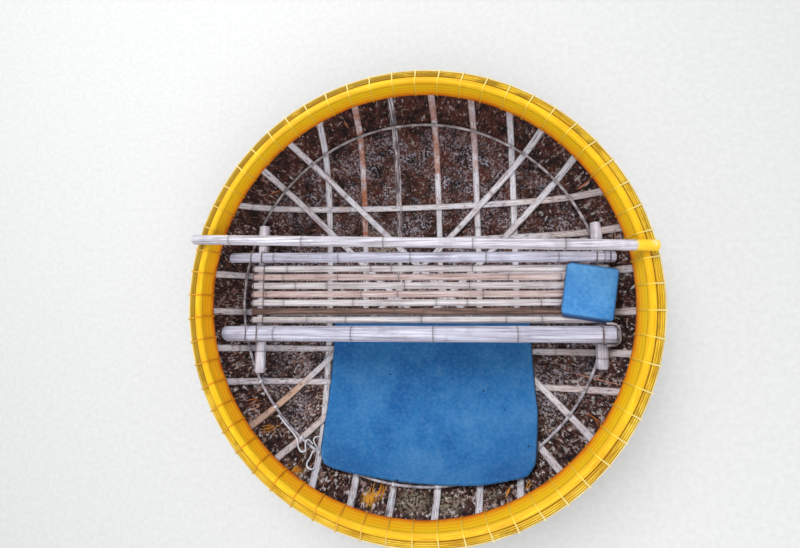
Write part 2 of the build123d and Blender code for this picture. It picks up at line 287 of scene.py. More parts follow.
def bowl_run(place):
    """Distance along the wall from the middle of the bottom to a place on it."""
    bottom_z, bilge_r, bilge_z, turn = bowl_shape()
    radius = hypot(place.x, place.y)
    angle = atan2(place.z - bottom_z, radius)
    if angle <= turn:
        return bottom_radius * (angle + pi / 2)
    knee = bottom_radius * (turn + pi / 2)
    angle = atan2(place.z - bilge_z, radius - bilge_r)
    if angle <= -lean:
        return knee + bilge_radius * (angle - turn)
    shoulder_z = bilge_z - bilge_radius * sin(lean)
    return knee + bilge_radius * (-lean - turn) + (place.z - shoulder_z) / cos(lean)


def bowl_line(inset, top, steps):
    """Points (radius, height) from the middle of the bottom up the wall."""
    bottom_z, bilge_r, bilge_z, turn = bowl_shape()
    bilge = bilge_radius - inset
    points = arc(0.0, bottom_z, bottom_radius - inset, -pi / 2, turn, steps)[:-1]
    points += arc(bilge_r, bilge_z, bilge, turn, -lean, steps)[:-1]
    shoulder = bilge_z - bilge * sin(lean)
    for step in range(steps // 2 + 1):
        height = shoulder + (top - shoulder) * step / (steps // 2)
        points.append((bowl_radius(height, inset), height))
    return points


def rim_spot(out, up):
    """Radius and height of a point in the rim's leaning section."""
    return mouth_radius + out * cos(lean) + up * sin(lean), rim_height - out * sin(lean) + up * cos(lean)


# Ways of modelling
def start(name, add_primitive, **sizes):
    """Adds a primitive with nothing else selected, and names it."""
    bpy.ops.object.select_all(action="DESELECT")
    add_primitive(**sizes)
    made = bpy.context.object
    made.name = name
    made.data.name = name
    return made


def grid(name, columns, rows):
    """A flat square with a side of 1, in this many columns and rows."""
    return start(name, bpy.ops.mesh.primitive_grid_add, x_subdivisions=columns, y_subdivisions=rows, size=1)


def linked(name, data):
    """A new object of this data, in the scene."""
    made = bpy.data.objects.new(name, data)
    bpy.context.collection.objects.link(made)
    return made


def select_only(*objects):
    """Selects these objects, and makes the first one active."""
    bpy.ops.object.select_all(action="DESELECT")
    for each in objects:
        each.select_set(True)
    bpy.context.view_layer.objects.active = objects[0]


def drawn_line(name, points, closed=False):
    """A line through (radius, height) points, drawn by extruding one vertex from point to point."""
    made = start(name, bpy.ops.mesh.primitive_plane_add, size=0.01)
    bpy.ops.object.mode_set(mode="EDIT")
    bpy.ops.mesh.merge(type="CENTER")
    bpy.ops.transform.translate(value=(points[0][0], 0, points[0][1]))
    for here, after in zip(points, points[1:]):
        step = (after[0] - here[0], 0, after[1] - here[1])
        bpy.ops.mesh.extrude_region_move(TRANSFORM_OT_translate={"value": step})
    if closed:
        bpy.ops.mesh.select_all(action="SELECT")
        bpy.ops.mesh.edge_face_add()
        bpy.ops.mesh.delete(type="ONLY_FACE")
    bpy.ops.object.mode_set(mode="OBJECT")
    return made


def end_edit(limit):
    """Joins all points nearer to each other than the limit, turns the faces outwards and leaves edit mode."""
    bpy.ops.mesh.select_all(action="SELECT")
    bpy.ops.mesh.remove_doubles(threshold=limit)
    bpy.ops.mesh.normals_make_consistent(inside=False)
    bpy.ops.object.mode_set(mode="OBJECT")


def spun(name, points, closed=False, steps=spin_steps):
    """A line through (radius, height) points, spun all round the upright axis."""
    made = drawn_line(name, points, closed)
    bpy.ops.object.mode_set(mode="EDIT")
    bpy.ops.mesh.select_all(action="SELECT")
    bpy.ops.mesh.spin(steps=steps, angle=2 * pi, center=(0, 0, 0), axis=(0, 0, 1))
    end_edit(0.00002)
    return made


def smooth(made, limit=35.0):
    """Smooth shading, with edges sharper than the limit kept."""
    select_only(made)
    bpy.ops.object.shade_smooth_by_angle(angle=radians(limit))
    return made


def modified(made, kind, **values):
    """Applies one modifier with these values."""
    change = made.modifiers.new("change", kind)
    for name, value in values.items():
        setattr(change, name, value)
    select_only(made)
    bpy.ops.object.modifier_apply(modifier=change.name)
    return made


def soften(made, width, segments=2, limit=40.0):
    """Rounds the edges that are sharper than the limit."""
    return modified(made, "BEVEL", width=width, segments=segments, limit_method="ANGLE",
                    angle_limit=radians(limit))


def thicken(made, thickness):
    """Gives a sheet its thickness, downwards."""
    return modified(made, "SOLIDIFY", thickness=thickness, offset=-1)


def roughen(made, amount, size, seed):
    """Moves each point along its normal by smooth noise of this size."""
    shift = Vector((seed * 3.1, seed * 7.7, seed * 1.3))
    points = made.data.vertices
    moves = [point.normal * amount * noise.noise(point.co / size + shift) for point in points]
    for point, move in zip(points, moves):
        point.co += move


def joined(name, objects):
    """Joins objects into one piece."""
    select_only(*objects)
    if len(objects) > 1:
        bpy.ops.object.join()
    made = bpy.context.object
    made.name = name
    made.data.name = name
    return made


def repeated(name, made, matrices):
    """Copies of one object, each with its own mesh and place, joined into a piece without the first one."""
    copies = []
    for matrix in matrices:
        twin = made.copy()
        twin.data = made.data.copy()
        twin.data.transform(matrix)
        bpy.context.collection.objects.link(twin)
        copies.append(twin)
    bpy.data.objects.remove(made)
    return joined(name, copies)


def curve_through(name, kind, points):
    """An object with a curve of one spline through or near these points, and the spline."""
    curve = bpy.data.curves.new(name, "CURVE")
    curve.dimensions = "3D"
    spline = curve.splines.new(kind)
    spline.points.add(len(points) - 1)
    for target, point in zip(spline.points, points):
        target.co = (*point, 1.0)
    return linked(name, curve), spline


def tube(name, points, radius, closed=False, roundness=2):
    """A round tube along points, as a mesh with its ends closed."""
    made, spline = curve_through(name, "POLY", points)
    spline.use_cyclic_u = closed
    made.data.bevel_depth = radius
    made.data.bevel_resolution = roundness
    made.data.use_fill_caps = not closed
    select_only(made)
    bpy.ops.object.convert(target="MESH")
    bpy.ops.object.mode_set(mode="EDIT")
    end_edit(0.00001)
    return smooth(bpy.context.object, 60)


def lay_map(made, spot):
    """Gives a piece a surface map from a function of each corner's place."""
    layer = made.data.uv_layers.new(name="surface")
    for corner in made.data.loops:
        layer.data[corner.index].uv = spot(made.data.vertices[corner.vertex_index].co)


def store(made, name, values):
    """Stores a number on each point of a piece."""
    layer = made.data.attributes.new(name, "FLOAT", "POINT")
    layer.data.foreach_set("value", values)


def mark(made, name, value):
    """Stores a number on each point of a piece, from a function of its place."""
    store(made, name, [value(point.co) for point in made.data.vertices])


def put(made, material, slot, *nodes):
    """Gives a finished piece its material and its body, and hides the nodes that it stands for. The slot is not
    used.
    """
    made.data.materials.clear()
    made.data.materials.append(material)
    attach(made, "root")
    if nodes:
        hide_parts(*nodes)


# Ways of making a material
def paint(colour):
    """The light of a colour written as on a screen, from 0 to 255. A colour made by nodes stays as it is."""
    if not isinstance(colour, tuple):
        return colour
    shares = [part / 255 for part in colour]
    return (*[share / 12.92 if share <= 0.04 else ((share + 0.055) / 1.055) ** 2.4 for share in shares], 1.0)


class Amount:
    """A number that nodes work out for each place on a piece, for sums as with other numbers."""

    def __init__(self, finish, socket):
        self.finish = finish
        self.socket = socket

    def __add__(self, other):
        return self.finish.math("ADD", self, other)

    def __sub__(self, other):
        return self.finish.math("SUBTRACT", self, other)

    def __rsub__(self, other):
        return self.finish.math("SUBTRACT", other, self)

    def __mul__(self, other):
        return self.finish.math("MULTIPLY", self, other)

    def __pow__(self, other):
        return self.finish.math("POWER", self, other)

    def __abs__(self):
        return self.finish.math("ABSOLUTE", self)


class Finish:
    """A material in the making, with short ways to add its nodes."""

    def __init__(self, name, roughness, shine=0.5):
        self.material = bpy.data.materials.new(name)
        self.material.use_nodes = True
        self.tree = self.material.node_tree
        self.shader = self.tree.nodes["Principled BSDF"]
        self.shader.inputs["Roughness"].default_value = roughness
        self.shader.inputs["Specular IOR Level"].default_value = shine
        self.place = self.node("TexCoord").outputs["Object"]
        self.x, self.y, self.z = self.split(self.place)
        self.colour = None
        self.normal = None

    def feed(self, socket, value):
        """Links a node's output to a socket, or gives the socket a plain value."""
        if isinstance(value, Amount):
            value = value.socket
        if isinstance(value, bpy.types.NodeSocket):
            self.tree.links.new(value, socket)
        else:
            socket.default_value = value

    def node(self, kind, *values):
        """A node with its first inputs fed in order."""
        made = self.tree.nodes.new("ShaderNode" + kind)
        for socket, value in zip(made.inputs, values):
            self.feed(socket, value)
        return made

    def math(self, operation, *values):
        """A sum of one or two numbers."""
        made = self.node("Math", *values)
        made.operation = operation
        return Amount(self, made.outputs["Value"])

    def split(self, vector):
        """The three numbers of a place."""
        return [Amount(self, socket) for socket in self.node("SeparateXYZ", vector).outputs]

    def surface(self):
        """The surface map that lay_map gave the piece."""
        made = self.node("UVMap")
        made.uv_map = "surface"
        return made.outputs["UV"]

    def stored(self, name):
        """A number stored on the piece's points."""
        made = self.node("Attribute")
        made.attribute_name = name
        return Amount(self, made.outputs["Fac"])

    def stretch(self, vector, scale):
        """A place with its three numbers scaled."""
        made = self.node("Mapping", vector)
        made.inputs["Scale"].default_value = scale
        return made.outputs["Vector"]

    def cloud(self, vector, scale, detail=4.0, rough=0.55):
        """Smooth noise. A scale of three numbers stretches it."""
        if isinstance(scale, tuple):
            vector = self.stretch(vector, scale)
            scale = 1.0
        made = self.node("TexNoise")
        for name, value in (("Vector", vector), ("Scale", scale), ("Detail", detail), ("Roughness", rough)):
            self.feed(made.inputs[name], value)
        return Amount(self, made.outputs["Fac"])

    def pores(self, scale):
        """Round cells with their walls."""
        made = self.node("TexVoronoi")
        self.feed(made.inputs["Vector"], self.place)
        self.feed(made.inputs["Scale"], scale)
        return Amount(self, made.outputs["Distance"])

    def step(self, value, low, high):
        """From 0 at low to 1 at high. Low may be the larger one."""
        return Amount(self, self.node("MapRange", value, low, high, 0.0, 1.0).outputs["Result"])

    def ramp(self, value, *stops):
        """A colour that runs through the stops, each a position and a colour."""
        made = self.node("ValToRGB", value)
        elements = made.color_ramp.elements
        while len(elements) < len(stops):
            elements.new(1.0)
        for element, (position, colour) in zip(elements, stops):
            element.position = position
            element.color = paint(colour)
        return made.outputs["Color"]

    def mix(self, share, under, over):
        """One colour, and a share of another over it."""
        made = self.node("Mix")
        made.data_type = "RGBA"
        self.feed(made.inputs["Factor"], share)
        self.feed(made.inputs[6], paint(under))
        self.feed(made.inputs[7], paint(over))
        return made.outputs[2]

    def cover(self, share, colour):
        """Lays a share of a colour over the material's own."""
        self.colour = self.mix(share, self.colour, colour)

    def relief(self, height, depth):
        """Adds relief to the material's own."""
        made = self.node("Bump")
        for name, value in (("Strength", 1.0), ("Distance", depth), ("Height", height)):
            self.feed(made.inputs[name], value)
        if self.normal:
            self.feed(made.inputs["Normal"], self.normal)
        self.normal = made.outputs["Normal"]

    def done(self, sheen=0.0):
        """The material, when its colour and relief are complete."""
        self.feed(self.shader.inputs["Base Color"], self.colour)
        if self.normal:
            self.feed(self.shader.inputs["Normal"], self.normal)
        self.shader.inputs["Sheen Weight"].default_value = sheen
        return self.material


# Materials
def woven_height(finish, plane, strip):
    """Relief of a plain weave with strips of this width."""
    across, along, _ = finish.split(plane)
    waves = [finish.math("SINE", axis * (pi / strip)) for axis in (across, along)]
    over = finish.math("GREATER_THAN", waves[0] * waves[1], 0.0)
    flat = [abs(wave) ** 0.35 for wave in waves]
    bent = [abs(wave) ** 0.9 for wave in waves]
    return over * (flat[0] * bent[1]) + (1.0 - over) * (bent[0] * flat[1])


def bare_flecks(finish, plane, patch, front, outside):
    """Adds bare flecks to the pitch, each with a halo, and large ones on the right. Gives the small ones."""
    fleck = finish.cloud(finish.place, (84.0, 84.0, 34.0), 3.0, 0.66)
    level = fleck + (patch - 0.5) * 0.60 + front * 0.050 - outside * 0.30
    finish.cover(finish.step(level, 0.47, 0.60) * 0.6, (106, 70, 54))
    fleck = finish.step(level, 0.575, 0.645)
    tint = finish.ramp(finish.cloud(plane, 34.0, 3.0), (0.38, (140, 96, 80)), (0.50, (186, 160, 152)),
                       (0.62, (236, 228, 228)))
    finish.cover(fleck, tint)
    large = finish.step(finish.cloud(finish.place, (46.0, 46.0, 20.0), 3.0, 0.60), 0.585, 0.625)
    finish.cover(finish.step(finish.x, 0.45, 0.75) * (1.0 - outside) * large, (214, 204, 200))
    return fleck


def pitch_finish():
    """Dark pitch over woven bamboo: flecks, spilt paint and dust inside, the bare weave rubbed pale outside."""
    finish = Finish("pitch_over_weave", 0.7, 0.3)
    plane = finish.surface()
    place = finish.place
    outside = finish.stored("outside")
    inside = 1.0 - outside
    finish.colour = finish.ramp(finish.cloud(plane, 26.0, 5.0, 0.68),
                                (0.38, (9, 4, 7)), (0.50, (38, 21, 20)), (0.66, (96, 58, 46)))
    front = finish.step(finish.x * -0.35 + finish.y * -0.8, -0.45, 0.55)
    patch = finish.cloud(place, 12.0, 4.0, 0.6)
    fleck = bare_flecks(finish, plane, patch, front, outside)
    # Red brown patches at the back, dust near the bottom, pale clumps and spilt paint
    red = (1.0 - front) * finish.step(patch, 0.45, 0.57) * inside
    finish.cover(red * 0.50, (98, 44, 33))
    low = finish.step(finish.z, 0.150, 0.040) * finish.step(finish.cloud(place, 9.0, 4.0, 0.6), 0.42, 0.58)
    dust = finish.step(finish.cloud(place, 85.0, 4.0, 0.70), 0.51, 0.57)
    finish.cover((low - outside) * dust * 0.85, (190, 184, 196))
    cream = finish.stored("cream") * finish.step(finish.cloud(plane, 60.0), 0.46, 0.54) * inside
    finish.cover(cream * 0.8, (190, 178, 152))
    spilt = finish.step(finish.cloud(place, (70.0, 70.0, 16.0), 3.0), 0.46, 0.54)
    finish.cover(finish.stored("spilt") * spilt * inside, (255, 186, 44))
    # The dark red band under the rim, partly red paint overspray and partly painted shade, and the weave rubbed
    # bare outside
    finish.cover(finish.step(finish.z, 0.285, 0.335) * 0.6, (58, 12, 8))
    height = woven_height(finish, plane, 0.012)
    rubbed = finish.step(height * finish.cloud(plane, 30.0, 5.0, 0.7), 0.44, 0.62)
    finish.cover(rubbed * outside, (122, 90, 62))
    finish.relief(height, 0.0024)
    finish.relief(finish.cloud(plane, 150.0, 4.0, 0.65) + fleck, 0.0030)
    return finish.done()


def fibre_finish():
    """Splints and fibres of the weave that stand out of the pitch, each with a tone of its own."""
    finish = Finish("bare_fibres", 0.8)
    finish.colour = finish.ramp(finish.stored("tone"), (0.0, (60, 36, 32)), (0.35, (126, 86, 70)),
                                (0.65, (180, 148, 134)), (0.88, (222, 206, 198)), (0.93, (226, 124, 56)),
                                (1.0, (255, 190, 50)))
    grain = finish.cloud(finish.place, 420.0, 2.0)
    finish.cover(finish.step(grain, 0.50, 0.70) * 0.5, (84, 56, 46))
    finish.relief(grain, 0.0008)
    return finish.done()


def ring_streaks(finish, up_scale, round_scale):
    """Streaks that run round the rim."""
    up = finish.split(finish.surface())[1]
    vector = finish.node("CombineXYZ", finish.x * round_scale, finish.y * round_scale, up * up_scale)
    return finish.cloud(vector.outputs["Vector"], 1.0, 3.0, 0.6)


def front_left(finish):
    """Where the rim's paint is warmer: from 0 to 1 towards the front left."""
    return finish.step(finish.x * -0.9 + finish.y * -0.5, 0.35, 0.80)


def seams(finish, up, pitch, width):
    """Lines where strips of this pitch meet, where the shade in the gaps is painted."""
    return finish.step(abs(finish.math("SINE", up * (pi / pitch))), width, 0.05)


def cap_finish():
    """Thick glossy yellow paint."""
    finish = Finish("yellow_gloss_paint", 0.38, 0.22)
    streak = ring_streaks(finish, 900.0, 9.0)
    finish.colour = finish.ramp(streak, (0.32, (218, 154, 10)), (0.50, (238, 188, 18)), (0.68, (248, 206, 32)))
    finish.cover(finish.step(finish.cloud(finish.place, 5.0), 0.50, 0.72), (232, 172, 14))
    finish.relief(streak, 0.0010)
    finish.relief(finish.cloud(finish.place, 90.0, 3.0), 0.0016)
    return finish.done()


def inner_strip_finish():
    """Yellow paint, darkened to orange brown towards the lower edge by painted shade under the rim."""
    finish = Finish("orange_to_yellow_paint", 0.5, 0.2)
    up = finish.split(finish.surface())[1]
    streak = ring_streaks(finish, 420.0, 7.0)
    level = up + (finish.cloud(finish.place, 9.0) - 0.5) * 0.034
    # The ramp to orange brown towards the lower edge is painted shade under the rim.
    finish.colour = finish.ramp(finish.step(level, -0.078, -0.010), (0.04, (150, 66, 12)),
                                (0.18, (226, 120, 14)), (0.38, (252, 180, 14)), (0.75, (255, 208, 18)))
    warm = front_left(finish) * finish.step(level, -0.058, -0.040)
    finish.cover(warm * 0.8, (255, 178, 14))
    finish.cover(finish.step(streak, 0.54, 0.72) * 0.5, (248, 182, 10))
    # Orange lines along the seams between the strips: painted shade in the gaps.
    pitch = (strip_high - strip_low) / inner_strip_count
    finish.cover(seams(finish, up - strip_low, pitch, 0.42) * 0.9, (244, 146, 6))
    finish.relief(streak, 0.0002)
    return finish.done()


def outer_strip_finish():
    """Thin yellow paint on the tops, olive brown in the gaps as painted shade between the strips, and a pale
    outermost strip.
    """
    finish = Finish("outer_strip_paint", 0.5, 0.2)
    out, up, _ = finish.split(finish.surface())
    streak = ring_streaks(finish, 500.0, 8.0)
    tone = finish.ramp(streak, (0.35, (180, 126, 18)), (0.50, (226, 182, 34)), (0.70, (244, 212, 82)))
    pale = finish.ramp(streak, (0.32, (200, 160, 60)), (0.55, (240, 216, 134)))
    finish.colour = finish.mix(finish.step(out, 0.0445, 0.0455), tone, pale)
    left = finish.step(finish.x * -0.7 + finish.y * 0.6, -0.10, 0.75)
    bare = finish.cloud(finish.place, 9.0, 5.0, 0.6) + left * 0.26 - 0.07
    finish.cover(finish.step(bare, 0.50, 0.62) * finish.step(out, 0.0440, 0.0360) * 0.75, (150, 114, 20))
    # Olive brown below the tops, down in the gaps: painted shade between the strips.
    finish.cover(finish.step(up, -0.0070, -0.0105) * 0.85, (130, 88, 16))
    # The upright face of the outermost strip
    face = finish.step(out, 0.0508, 0.0514)
    finish.cover(face, finish.mix(finish.step(streak, 0.44, 0.60), (226, 164, 16), (250, 206, 36)))
    # Dark lines at the seams of the upright face: painted shade in the grooves.
    seam = face * seams(finish, up, 0.0180, 0.25)
    finish.cover(seam * 0.8, (120, 84, 14))
    finish.relief(streak - seam * 2.0, 0.0014)
    return finish.done()


def painted_cord_finish():
    """Cord under the rim's paint: pale where it is worn outside, orange brown at the front left, and orange low
    on the inner face as painted shade under the rim.
    """
    finish = Finish("painted_cord", 0.6, 0.2)
    out, up, _ = finish.split(finish.surface())
    across = finish.step(out, -0.024, 0.045)
    pale = finish.ramp(across, (0.10, (255, 222, 76)), (0.45, (255, 234, 124)), (0.90, (255, 244, 184)))
    brown = finish.ramp(across, (0.10, (228, 148, 20)), (0.90, (236, 184, 60)))
    finish.colour = finish.mix(front_left(finish), pale, brown)
    # Orange low on the inner face: the same painted shade under the rim as on the inner strips.
    finish.cover(finish.step(up, -0.040, -0.070), (240, 170, 24))
    fuzz = finish.cloud(finish.place, 900.0, 2.0)
    finish.cover(fuzz * 0.3, (236, 180, 40))
    finish.relief(fuzz, 0.0006)
    return finish.done()


def bamboo_finish(name, grain, tones, joint_tone):
    """Weathered bamboo: streaks along the grain, joints darker, cracks and grey patches."""
    finish = Finish(name, 0.72)
    along = finish.stretch(finish.place, grain)
    streak = finish.cloud(along, 1.0, 5.0, 0.65)
    finish.colour = finish.ramp(streak, *zip((0.34, 0.50, 0.64), tones))
    finish.cover(finish.step(finish.cloud(finish.place, 14.0), 0.52, 0.70) * 0.45, tones[0])
    crack = finish.step(finish.cloud(along, 2.6, 3.0, 0.7), 0.64, 0.70)
    finish.cover(crack * 0.6, joint_tone)
    finish.cover(finish.stored("joint") * 0.8, joint_tone)
    finish.relief(streak - crack, 0.0010)
    return finish


def carry_finish():
    """Pale pole with yellow paint on its right end, worn at the very end."""
    tones = ((142, 134, 142), (200, 196, 206), (236, 234, 242))
    finish = bamboo_finish("carrying_pole", (3.0, 120.0, 120.0), tones, (84, 60, 58))
    edge = finish.x + finish.cloud(finish.place, 60.0, 3.0) * 0.03
    finish.cover(finish.step(edge, 0.856, 0.866), (250, 202, 34))
    worn = finish.step(finish.cloud(finish.place, 45.0, 3.0), 0.50, 0.62)
    finish.cover(worn * finish.step(edge, 0.900, 0.915), (248, 218, 150))
    return finish.done()


def lath_finish():
    """Weathered lath: pale, streaked and dark edged, with pitch, brown and tan where they are stored on it."""
    finish = Finish("weathered_lath", 0.8)
    surface = finish.surface()
    streak = finish.cloud(surface, (4.0, 240.0, 1.0), 5.0, 0.68)
    finish.colour = finish.ramp(streak, (0.34, (146, 132, 142)), (0.44, (228, 225, 236)),
                                (0.60, (250, 252, 255)))
    finish.cover(finish.stored("tan") * 0.8, (214, 160, 112))
    patch = finish.cloud(finish.place, 16.0, 5.0, 0.6)
    finish.cover(finish.step(patch, 0.56, 0.70) * 0.4, (170, 138, 128))
    speck = finish.step(finish.cloud(surface, (26.0, 200.0, 1.0), 3.0), 0.60, 0.66)
    finish.cover(speck * 0.9, (52, 34, 34))
    finish.cover(finish.stored("brown") * finish.step(patch, 0.30, 0.55), (170, 92, 46))
    run = finish.cloud(surface, (9.0, 130.0, 1.0), 4.0, 0.62) + finish.stored("pitch") * 0.26
    finish.cover(finish.step(run, 0.64, 0.72) * 0.85, (44, 30, 34))
    finish.cover(finish.stored("joint") * 0.55, (104, 84, 80))
    finish.cover(finish.stored("rim") * 0.6, (66, 46, 42))
    finish.relief(streak - speck, 0.0014)
    return finish.done()


def cane_finish():
    """Grey brown cane, paler at the front."""
    finish = Finish("grey_cane", 0.7)
    shade = finish.cloud(finish.place, 30.0)
    fine = finish.cloud(finish.place, 300.0, 3.0)
    back = finish.ramp(shade, (0.35, (112, 100, 102)), (0.52, (166, 155, 156)), (0.68, (204, 195, 196)))
    front = finish.ramp(shade, (0.35, (120, 110, 116)), (0.52, (178, 170, 178)), (0.68, (216, 212, 220)))
    finish.colour = finish.mix(finish.step(finish.y, 0.10, -0.40), back, front)
    finish.cover(finish.step(fine, 0.55, 0.75), (96, 82, 82))
    finish.relief(fine, 0.0008)
    return finish.done()


def cord_finish(name, pale, dark, worn=None):
    """Twisted cord with fine fibres, where asked in another tone away from the front left."""
    finish = Finish(name, 0.65)
    finish.colour = finish.mix(finish.step(finish.cloud(finish.place, 40.0), 0.45, 0.75), pale, dark)
    if worn:
        finish.cover(finish.step(finish.x * 0.5 + finish.y, -0.75, -0.55), worn)
    fuzz = finish.cloud(finish.place, 1400.0, 2.0)
    finish.cover(fuzz * 0.25, dark)
    finish.relief(fuzz, 0.0005)
    return finish.done(sheen=0.2)


def foam_finish(name, tones, scuff, scuff_low, edge_shade_and_nick_tone, nicks):
    """Closed-cell foam, fine pores, scuffed pale, with painted shade where the edge is stored, with or without
    dark nicks.
    """
    finish = Finish(name, 0.8, 0.3)
    place = finish.place
    finish.colour = finish.ramp(finish.cloud(place, 4.5, 5.0, 0.6), *zip((0.34, 0.50, 0.66), tones))
    mottle = finish.cloud(place, 55.0, 4.0, 0.7)
    finish.cover(finish.step(mottle, 0.46, 0.62) * 0.22, scuff)
    finish.cover(finish.step(mottle, 0.48, 0.34) * 0.26, tones[0])
    rub = finish.cloud(place, (22.0, 18.0, 22.0), 6.0, 0.7)
    finish.cover(finish.step(rub, scuff_low, 0.85) * 0.6, scuff)
    finish.cover(finish.step(finish.cloud(place, 30.0, 1.0), 0.765, 0.780) * nicks, edge_shade_and_nick_tone)
    # Painted shade on the edges and sides, where it is stored on the piece.
    finish.cover(finish.stored("edge"), edge_shade_and_nick_tone)
    finish.relief(finish.pores(500.0), 0.0004)
    finish.relief(mottle, 0.0010)
    return finish.done(sheen=0.15)


# The wall
# Where paint was spilt on the wall: distance to the right, to the back, height, reach
spilt_spots = (
    (-0.180, -0.859, 0.218, 0.045),
    (-0.499, -0.738, 0.285, 0.035),
    (-0.650, -0.590, 0.215, 0.025),
)

# Strands of paint on the wall: distances to the right and back of both ends, number, how far they spread, tone
paint_strands = (
    (-0.190, -0.867, -0.173, -0.848, 18, 0.016, 1.00),
    (-0.165, -0.868, -0.142, -0.833, 5, 0.006, 0.98),
    (-0.146, -0.865, -0.130, -0.841, 3, 0.006, 0.97),
    (-0.746, -0.470, -0.716, -0.474, 3, 0.008, 0.93),
    (-0.728, -0.504, -0.710, -0.500, 3, 0.008, 0.91),
    (-0.663, -0.589, -0.631, -0.589, 5, 0.010, 0.96),
    (-0.514, -0.737, -0.483, -0.740, 5, 0.012, 0.97),
    (-0.498, -0.750, -0.492, -0.728, 3, 0.012, 0.94),
    (0.710, -0.340, 0.828, -0.347, 1, 0.000, 0.91),
    (0.724, -0.484, 0.746, -0.495, 1, 0.004, 0.94),
    (0.735, -0.489, 0.733, -0.510, 1, 0.004, 0.94),
    (0.380, -0.802, 0.406, -0.780, 3, 0.008, 0.97),
    (0.460, -0.761, 0.481, -0.743, 2, 0.008, 0.97),
    (-0.319, 0.825, -0.304, 0.812, 2, 0.006, 0.92),
    (0.730, 0.475, 0.753, 0.478, 3, 0.006, 0.92),
    (-0.706, 0.508, -0.669, 0.541, 2, 0.006, 0.92),
)

# Where pale clumps lie on the pitch
cream_spots = (
    (0.000, -0.850, 0.215, 0.090),
    (0.150, -0.850, 0.230, 0.080),
    (0.320, -0.790, 0.230, 0.050),
    (-0.200, 0.300, -0.120, 0.120),
)


def spot_share(spots, place):
    """How near a place is to the nearest of some spots: 1 at a spot, 0 past its reach."""
    shares = [1 - (place - Vector(spot)).length / reach for *spot, reach in spots]
    return clamped(1.6 * max(shares))


def make_hull():
    hull_top = rim_height + strip_high * cos(lean) - hull_thickness * sin(lean)
    inside = bowl_line(0.0, hull_top, 36)
    outside = bowl_line(-hull_thickness, hull_top, 36)
    made = spun("hull", inside + outside[::-1])
    roughen(made, 0.0016, 0.09, 1)
    smooth(made, 50)
    lay_map(made, hull_map)
    mark(made, "spilt", lambda place: spot_share(spilt_spots, place))
    mark(made, "cream", lambda place: spot_share(cream_spots, place))
    mouth = Vector((0, 0, rim_height))
    store(made, "outside", [float(point.normal.dot(point.co - mouth) > 0) for point in made.data.vertices])
    put(made, pitch_finish(), "hull", "hull_shell")


def wall_place(flat, inset):
    """The place on the wall of a point on the wall laid flat, this far inside it."""
    bottom_z, bilge_r, bilge_z, turn = bowl_shape()
    knee = bottom_radius * (turn + pi / 2)
    shoulder = knee + bilge_radius * (-lean - turn)
    run = flat.length
    if run <= knee:
        angle = run / bottom_radius - pi / 2
        centre, reach = (0.0, bottom_z), bottom_radius - inset
    else:
        angle = turn + (min(run, shoulder) - knee) / bilge_radius
        centre, reach = (bilge_r, bilge_z), bilge_radius - inset
    past = max(0.0, run - shoulder)
    radius = centre[0] + reach * cos(angle) + past * sin(lean)
    height = centre[1] + reach * sin(angle) + past * cos(lean)
    around = atan2(flat.y, flat.x)
    return Vector((radius * cos(around), radius * sin(around), height))


def fibre_line(dice, top):
    """The bent middle line of one fibre on the wall laid flat, with its width at each point."""
    run = top * sqrt(dice.uniform(0.02, 1.0))
    around = dice.uniform(-pi, pi)
    spot = Vector((run * cos(around), run * sin(around)))
    heading = dice.gauss(around, 0.5) if spot.y > 0.35 else dice.uniform(0, 2 * pi)
    bend = dice.uniform(-22, 22)
    length = dice.choice(fibre_lengths) * dice.uniform(0.8, 1.3)
    width = dice.uniform(0.0014, 0.0032)
    line = []
    for step in range(fibre_steps + 1):
        heading += bend * length / fibre_steps
        spot = spot + Vector((cos(heading), sin(heading))) * length / fibre_steps
        spot = spot * min(1.0, (top - width) / spot.length)
        line.append((spot, heading, width * (0.45 + 0.55 * sin(pi * step / fibre_steps))))
    return line


def strand_line(dice, row):
    """The line of one strand of paint, as fibre_line."""
    ends = []
    for x, y in (row[0:2], row[2:4]):
        place = Vector((x, y, bowl_height(hypot(x, y))))
        ends.append(Vector(hull_map(place)) + Vector((dice.gauss(0, row[5]), dice.gauss(0, row[5]))))
    first, last = ends
    last = first.lerp(last, dice.uniform(0.6, 1.1)) if row[4] > 1 else last
    heading = atan2(last.y - first.y, last.x - first.x)
    side = Vector((-sin(heading), cos(heading))) * dice.uniform(-0.005, 0.005)
    width = dice.uniform(0.0026, 0.0056)
    line = []
    for step in range(fibre_steps + 1):
        share = step / fibre_steps
        bow = sin(pi * share)
        line.append((first.lerp(last, share) + side * bow, heading, width * (0.4 + 0.6 * bow)))
    return line


def make_fibres():
    """Fibres and strands of paint on the pitch: one flat strip, repeated, and each copy laid on the wall."""
    dice = random.Random(12)
    top = bowl_run(Vector((bowl_radius(fibre_top), 0, fibre_top)))
    lines = [(fibre_line(dice, top), dice.uniform(0.0, 0.86)) for _ in range(fibre_count)]
    for row in paint_strands:
        lines += [(strand_line(dice, row), row[6]) for _ in range(row[4])]
    made = grid("fibres", fibre_steps, 2)
    for point in made.data.vertices:
        point.co.z = 0.0 if abs(point.co.y) > 0.25 else 1.0
    modified(made, "ARRAY", count=len(lines), use_relative_offset=False)
    each = len(made.data.vertices) // len(lines)
    tones = []
    for point in made.data.vertices:
        line, tone = lines[point.index // each]
        spot, heading, width = line[round((point.co.x + 0.5) * fibre_steps)]
        side = Vector((-sin(heading), cos(heading))) * width * point.co.y
        point.co = wall_place(spot + side, clearance + fibre_rise * point.co.z)
        tones.append(tone)
    store(made, "tone", tones)
    smooth(made, 60)
    put(made, fibre_finish(), "hull")


def hull_map(place):
    """The wall laid flat round the middle of the bottom, so the weave keeps its size up the wall."""
    run = bowl_run(place)
    around = atan2(place.y, place.x)
    return run * cos(around), run * sin(around)


